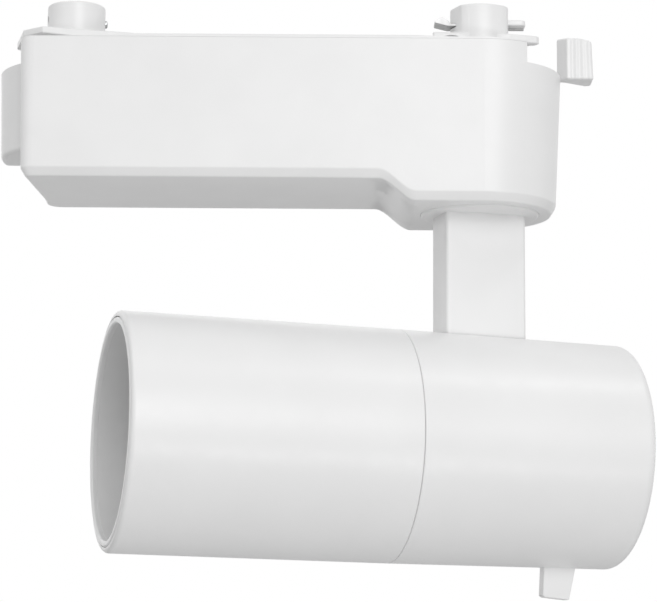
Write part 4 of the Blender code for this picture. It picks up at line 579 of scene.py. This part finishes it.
# The stem hangs a hair to the left of the post's axis, as in the photo.
pan_frame = np.array(Matrix.Translation((POST_X - 0.22, 0, 0)) @ Matrix.Rotation(PAN, 4, "Z"))
profile = eased([(-38.6, 4.3, 0.1), (-38.6, 14.05, 0.1), (-39.4, 14.05, 0.65), (-39.4, 4.3, 0.1)])
collar = mesh_of("pan_collar_plate", upright(turned(np.vstack([profile, profile[:1]]), 160)) + at_right)
dress(collar, white_abs, "stem", "white_plastic", "pan_collar")

# Turned brass: warm and bright, with the fine rings of the lathe tool every 0.25 mm, drawn at 0.3 mm.
brass = finish("turned_brass", ("#B8924A", "#C9A45C"), 2, (0.22, 0.38), 0.4, 0.01, Metallic=1.0)
tree = brass.node_tree
rings = node(tree, "ShaderNodeTexWave", {"Vector": tree.nodes["place"].outputs["Object"]},
             bands_direction="Z", Scale=math.pi / (10 * 0.3 * MM))
tree.links.new(rings.outputs["Fac"], tree.nodes["bump"].inputs["Height"])
coat(brass, "pan_bush", "pan_nut")
coat(zinc_steel, "pan_washer")

# Stem: the flat upright bar between the box and the head. Die-cast aluminium, powder coated white, with
# eased edges and a round foot that swings in the head's slot; the cable runs down inside it.

PIVOT_Z = -94.85

# Powder coat sprayed dry and baked: a soft gloss over a slight orange peel, whose real waves of about
# 2.4 mm bend each highlight a little, and a tone that drifts with the thickness of the film.
white_coat = finish("white_powder_coat_on_die_cast", ("#EDEDED", "#F0F0F0"), 22, (0.3, 0.38), 2.4, 0.003, IOR=1.5)

foot = np.radians(np.linspace(180, 360, 49))
half = 9.85
sides = np.linspace(-90, -38.55, 12)[1:]
outline = np.concatenate([
    np.column_stack([half * np.cos(foot), PIVOT_Z + half * np.sin(foot)]),
    np.column_stack([0 * sides + half, sides]),
    np.column_stack([0 * sides - half, sides[::-1]]),
])
bar = slab(outline, eased_rows(-5.5, 5.5, 0.85))[..., [0, 2, 1]] * (1, -1, 1)
# Bored for the bush at its top, for the cable down its middle and out at the side, and for the tilt pin.
EXIT_Z = -83.05
bores = [disc(4.3, -45.8, 0.0), disc(2.3, EXIT_Z, 0.0),
         turned([(-20, 0), (-20, 2.3), (0, 2.3), (0, 0)], 32) + (0, 0, EXIT_Z),
         turned([(-9, 0), (-9, 2.8), (9, 2.8), (9, 0)], 48)[..., [1, 0, 2]] + (0, 0, PIVOT_Z)]
bar = worked(mesh_of("stem_bar", moved(bar, pan_frame)), *[("DIFFERENCE", moved(bore, pan_frame)) for bore in bores])
dress(bar, white_coat, "stem", "white_coat", "stem")
coat(lead_sleeve, "stem_cable")

# Tilt joint: a yoke on the back of the heat sink with a pin through the stem's foot, two washers that
# rub on the stem and a nut. Cast aluminium and zinc-plated steel, screwed from the front.

# Cast aluminium as it leaves the die: pale grey with a cloudy skin and a fine sandy bite.
cast_alloy = finish("cast_aluminium", ("#9FA1A3", "#B2B3B4"), 5, (0.42, 0.6), 0.5, 0.03, Metallic=1.0)
coat(cast_alloy, "tilt_yoke", "tilt_washer_1", "tilt_washer_2")
coat(zinc_steel, "tilt_pin", "tilt_nut", "yoke_screw_1", "yoke_screw_2")

# Heat sink and light source: a finned disc of cast aluminium across the head, and on its front a thermal
# pad, a ceramic board with a round emitter, and a moulded ring that clamps the board with two screws.

coat(cast_alloy, "heat_sink")
coat(zinc_steel, "heat_sink_screw_1", "heat_sink_screw_2", "holder_screw_1", "holder_screw_2")
coat(lead_sleeve, "led_lead")
coat(white_abs, "led_holder")

# Silicone rubber: matt mid grey with a dusty bloom.
grey_silicone = finish("grey_silicone_rubber", ("#7C7C7A", "#888886"), 4, (0.6, 0.8), 0.5, 0.01)
coat(grey_silicone, "thermal_pad")

# Alumina board: dense off-white ceramic with a faint speckle.
alumina = finish("fired_alumina", ("#DCDAD4", "#E6E4DF"), 1.5, (0.35, 0.5), 0.3, 0.005)
coat(alumina, "led_board")

# Phosphor in clear silicone: deep yellow, grainy, slightly domed and wet-looking.
phosphor = finish("phosphor_in_silicone", ("#E3B437", "#EBC352"), 0.8, (0.15, 0.25), 0.3, 0.01)
HEAD_SEGMENTS = 192
head_frame = pan_frame @ np.array(Matrix.Translation((0, 0, PIVOT_Z)) @ Matrix.Rotation(math.radians(1.1), 4, "Y"))
dress(mesh_of("emitter_dome", moved(turned(eased([(-22.86, 0, 0), (-23.45, 3.6, 6), (-23.5, 4.5, 0.2), (-23.1, 4.8, 0.1),
                                                  (-22.76, 4.8, 0.05), (-22.76, 0, 0)]), 64), head_frame)),
      phosphor, "head", "led_phosphor", "led_emitter")

# Reflector, glass and gasket: a spun bowl that gathers the light, a toughened disc in front of it and a
# soft ring that seats the disc. Bright anodised aluminium, clear glass and grey silicone, all dropped
# into the barrel from the front.

# Bright anodised aluminium: a near mirror, slightly blurred by the spinning lines about 0.8 mm apart.
bright_alloy = finish("bright_anodised_aluminium", ("#DDDDDD", "#E6E6E5"), 8, (0.08, 0.16), 0.5, 0.004, Metallic=1.0)
tree = bright_alloy.node_tree
axis = node(tree, "ShaderNodeMapping", {"Vector": tree.nodes["place"].outputs["Object"]}, Rotation=(0, 0, -PAN))
lines = node(tree, "ShaderNodeTexWave", {"Vector": axis.outputs["Vector"]}, Scale=math.pi / (10 * 0.8 * MM), Distortion=0.6)
tree.links.new(lines.outputs["Fac"], tree.nodes["bump"].inputs["Height"])

depth = np.linspace(0, 1, 40)
bowl = np.column_stack([-52.7 + 27.04 * (1 - (1 - depth) ** 2), 7.5 + 14.5 * (1 - depth)])
back = np.column_stack([bowl[::-1, 0], bowl[::-1, 1] + 1.2])
back = back[back[:, 0] > -51.1]
profile = np.vstack([bowl, back, [(-51.2, 23.2), (-51.2, 25.7), (-52.7, 25.7)], bowl[:1]])
bowl_mesh = mesh_of("spun_reflector", moved(turned(profile, HEAD_SEGMENTS), head_frame))
dress(bowl_mesh, bright_alloy, "head", "mirror_aluminium", "reflector")

# Toughened glass: clear with the faint green of iron at its edge, and a very slight haze of dust.
clear_glass = finish("toughened_glass", ("#F1F6F3", "#F6F9F7"), 12, (0.02, 0.05), 2.0, 0.001, Transmission_Weight=1.0, IOR=1.5)
profile = eased([(-55.5, 0, 0), (-55.5, 25.7, 0.4), (-53.0, 25.7, 0.4), (-53.0, 0, 0)])
pane = mesh_of("glass_disc", moved(turned(profile, HEAD_SEGMENTS), head_frame))
dress(pane, clear_glass, "head", "clear_glass", "cover_glass")

profile = eased([(-57.0, 23.5, 0.3), (-55.8, 23.5, 0.3), (-55.8, 25.7, 0.3), (-57.0, 25.7, 0.3)])
seal = mesh_of("seal_ring", moved(turned(np.vstack([profile, profile[:1]]), HEAD_SEGMENTS), head_frame))
dress(seal, grey_silicone, "head", "grey_silicone", "glass_gasket")

# Glare baffle and front ring: the cone that hides the light source from the side and the trim ring that
# holds everything in the barrel. White moulded ABS, pushed in from the front.

# ABS from a blasted mould: dead matt, so that the mouth stays calm, and its white painted a little greyer than the
# other mouldings: painted shade for the inside of the mouth.
matt_abs_greyed_for_painted_shade = finish("white_abs_blasted_matt_greyed_for_painted_shade", ("#E3E3E3", "#E6E6E6"), 10, (0.6, 0.72), 0.45, 0.02, IOR=1.53)

profile = eased([(-86.3, 25.0, 0.1), (-82.84, 25.0, 0.1), (-82.84, 25.7, 0.15), (-80.4, 25.7, 0.15), (-58.5, 23.2, 0.15),
                 (-58.5, 25.7, 0.15), (-57.3, 25.7, 0.15), (-57.3, 22.0, 0.15), (-86.3, 24.4, 0.05)])
cone = mesh_of("baffle_cone", moved(turned(np.vstack([profile, profile[:1]]), HEAD_SEGMENTS), head_frame))
dress(cone, matt_abs_greyed_for_painted_shade, "head", "white_plastic", "glare_baffle")

profile = eased([(-87.7, 25.9, 0.6), (-82.86, 25.9, 0.2), (-82.86, 25.1, 0.1), (-86.3, 25.1, 0.1), (-86.3, 24.42, 0.05),
                 (-87.7, 24.42, 0.6)])
# It rests at the bottom of the barrel, so the gap round it opens at the top.
ring = turned(np.vstack([profile, profile[:1]]), HEAD_SEGMENTS) - (0, 0, 0.06)
trim = mesh_of("trim_ring", moved(ring, head_frame))
dress(trim, white_abs, "head", "white_plastic", "front_ring")

# Head shell: two die-cast aluminium cups that meet in a fine seam, both powder coated white. The front
# barrel carries the optics; the rear housing slides into it by a spigot and has a slot for the stem.

FRONT_X, SEAM_X, REAR_X = -87.5, -21.66, 33.9

profile = eased([(FRONT_X, 26.0, 0.15), (SEAM_X, 26.0, 0.2), (SEAM_X, 27.1, 0.35), (FRONT_X, 27.3, 1.1)])
barrel = mesh_of("barrel_tube", moved(turned(np.vstack([profile, profile[:1]]), HEAD_SEGMENTS), head_frame))
dress(barrel, white_coat, "head", "white_coat", "front_barrel")

profile = eased([
    (REAR_X, 0, 0), (REAR_X, 26.5, 2.2), (-21.6, 27.1, 0.35), (-21.6, 25.7, 0.1), (-28.36, 25.7, 0.4),
    (-28.36, 23.9, 0.3), (-21.36, 23.9, 0.1), (-20.6, 25.1, 0.1), (31.15, 25.1, 0.8), (31.15, 0, 0),
])
steps = [("DIFFERENCE", moved(brick((-10.93, -6.05, 0.0), (60, 6.05, 60)), head_frame)),
         ("DIFFERENCE", moved(brick((28.0, -6.05, -10.4), (60, 6.05, 10.4)), head_frame))]
# The back face leans out a hair at the top, as in the photo.
cup = turned(profile, HEAD_SEGMENTS)
cup[..., 0] += 0.006 * cup[..., 2] * np.clip(cup[..., 0] / REAR_X, 0, 1)
rear = worked(mesh_of("rear_cup", moved(cup, head_frame)), *steps)
dress(rear, white_coat, "head", "white_coat", "rear_housing")

# Aim tab: the small fin under the rear of the head that is held to point it. Cast with the same white
# coat and screwed on from inside the shell.

outline = eased([(15.75, -26.0, 0.4), (15.5, -33.2, 0.4), (16.1, -33.6, 0.3), (22.1, -34.1, 0.5), (23.75, -26.0, 0.4)])
fin = slab(outline, eased_rows(-1.5, 1.5, 0.35))[..., [0, 2, 1]] * (1, -1, 1)
dress(mesh_of("aim_fin", moved(fin, head_frame)), white_coat, "head", "white_coat", "aim_tab")
coat(zinc_steel, "aim_tab_screw")

# Camera: the photograph's own view, fitted to the object's edges; a long lens from slightly below.

position = np.array([12.596, -549.025, -146.403]) * MM
yaw, pitch, roll = 1.06842e-04, 0.156725, 6.43304e-03
right = np.array([math.cos(yaw), -math.sin(yaw), 0.0])
ahead = np.array([math.sin(yaw) * math.cos(pitch), math.cos(yaw) * math.cos(pitch), math.sin(pitch)])
above = np.cross(right, ahead)
across = math.cos(roll) * right + math.sin(roll) * above
upwards = -math.sin(roll) * right + math.cos(roll) * above
lens = bpy.data.cameras.new("camera")
lens.sensor_width, lens.sensor_fit, lens.lens = 36.0, "HORIZONTAL", 2351.6 * 36.0 / 657
lens.clip_start, lens.clip_end = 0.01, 20.0
camera = bpy.data.objects.new("camera", lens)
bpy.context.scene.collection.objects.link(camera)
camera.matrix_world = Matrix(np.column_stack([across, upwards, -ahead, position]).tolist() + [[0, 0, 0, 1]])
bpy.context.scene.camera = camera

# Floor and light: a pale floor well below the hanging lamp, a white room that fills the shadows, a wide
# soft light in front, three weak strips that draw the soft lines along the head, and a fill from behind.

plan = np.array([(-6e3, -6e3), (6e3, -6e3), (6e3, 6e3), (-6e3, 6e3)], float)
floor = mesh_of("floor", slab(plan, [(0.0, -952.0), (0.0, -950.0)]))
floor.materials.append(finish("pale_floor_paint", ("#E9E9E9", "#EDEDED"), 60, (0.7, 0.85), 4, 0.02))
ground = bpy.data.objects.new("floor", floor)
bpy.context.scene.collection.objects.link(ground)

world = bpy.data.worlds.new("white_room")
bpy.context.scene.world = world
world.use_nodes = True
tree = world.node_tree
rays = node(tree, "ShaderNodeLightPath").outputs
seen = node(tree, "ShaderNodeMath", {0: rays["Is Camera Ray"], 1: rays["Is Glossy Ray"]}, operation="MAXIMUM")
seen = node(tree, "ShaderNodeMath", {0: seen.outputs[0], 1: rays["Is Transmission Ray"]}, operation="MAXIMUM")
level = node(tree, "ShaderNodeMapRange", {"Value": seen.outputs[0]}, To_Min=0.44, To_Max=1.0)
room = tree.nodes["Background"]
room.inputs["Color"].default_value = (1, 1, 1, 1)
tree.links.new(level.outputs["Result"], room.inputs["Strength"])

# Each lamp by its bearing to the right of the view, its elevation, distance, width, height and power.
for name, bearing, rise, far, width, height, watts in (
    ("key", 14, 14, 2.0, 1.0, 1.0, 10.0),
    ("end_strip", 11, 14, 1.5, 0.16, 0.4, 0.4),
    ("high_strip", 67, 57, 1.5, 0.7, 0.1, 1.8),
    ("middle_strip", 31, 13, 1.5, 0.6, 0.06, 0.6),
    ("low_strip", 30, -21, 1.5, 0.6, 0.06, 2.3),
    ("left_fill", -45, 48, 2.0, 1.2, 1.2, 7.5),
    ("back_fill", 195, 20, 2.0, 1.5, 1.5, 2.0),
):
    lamp = bpy.data.lights.new(name, "AREA")
    lamp.shape, lamp.size, lamp.size_y, lamp.energy = "RECTANGLE", width, height, watts
    holder = bpy.data.objects.new(name, lamp)
    bpy.context.scene.collection.objects.link(holder)
    turn, lift = math.radians(bearing), math.radians(rise)
    way = Vector((math.cos(lift) * math.sin(turn), -math.cos(lift) * math.cos(turn), math.sin(lift)))
    place = Vector((0.0, 0.0, -0.055)) + far * way
    holder.matrix_world = Matrix.Translation(place) @ (-way).to_track_quat("-Z", "Y").to_matrix().to_4x4()

bpy.context.scene.view_settings.view_transform = "Standard"
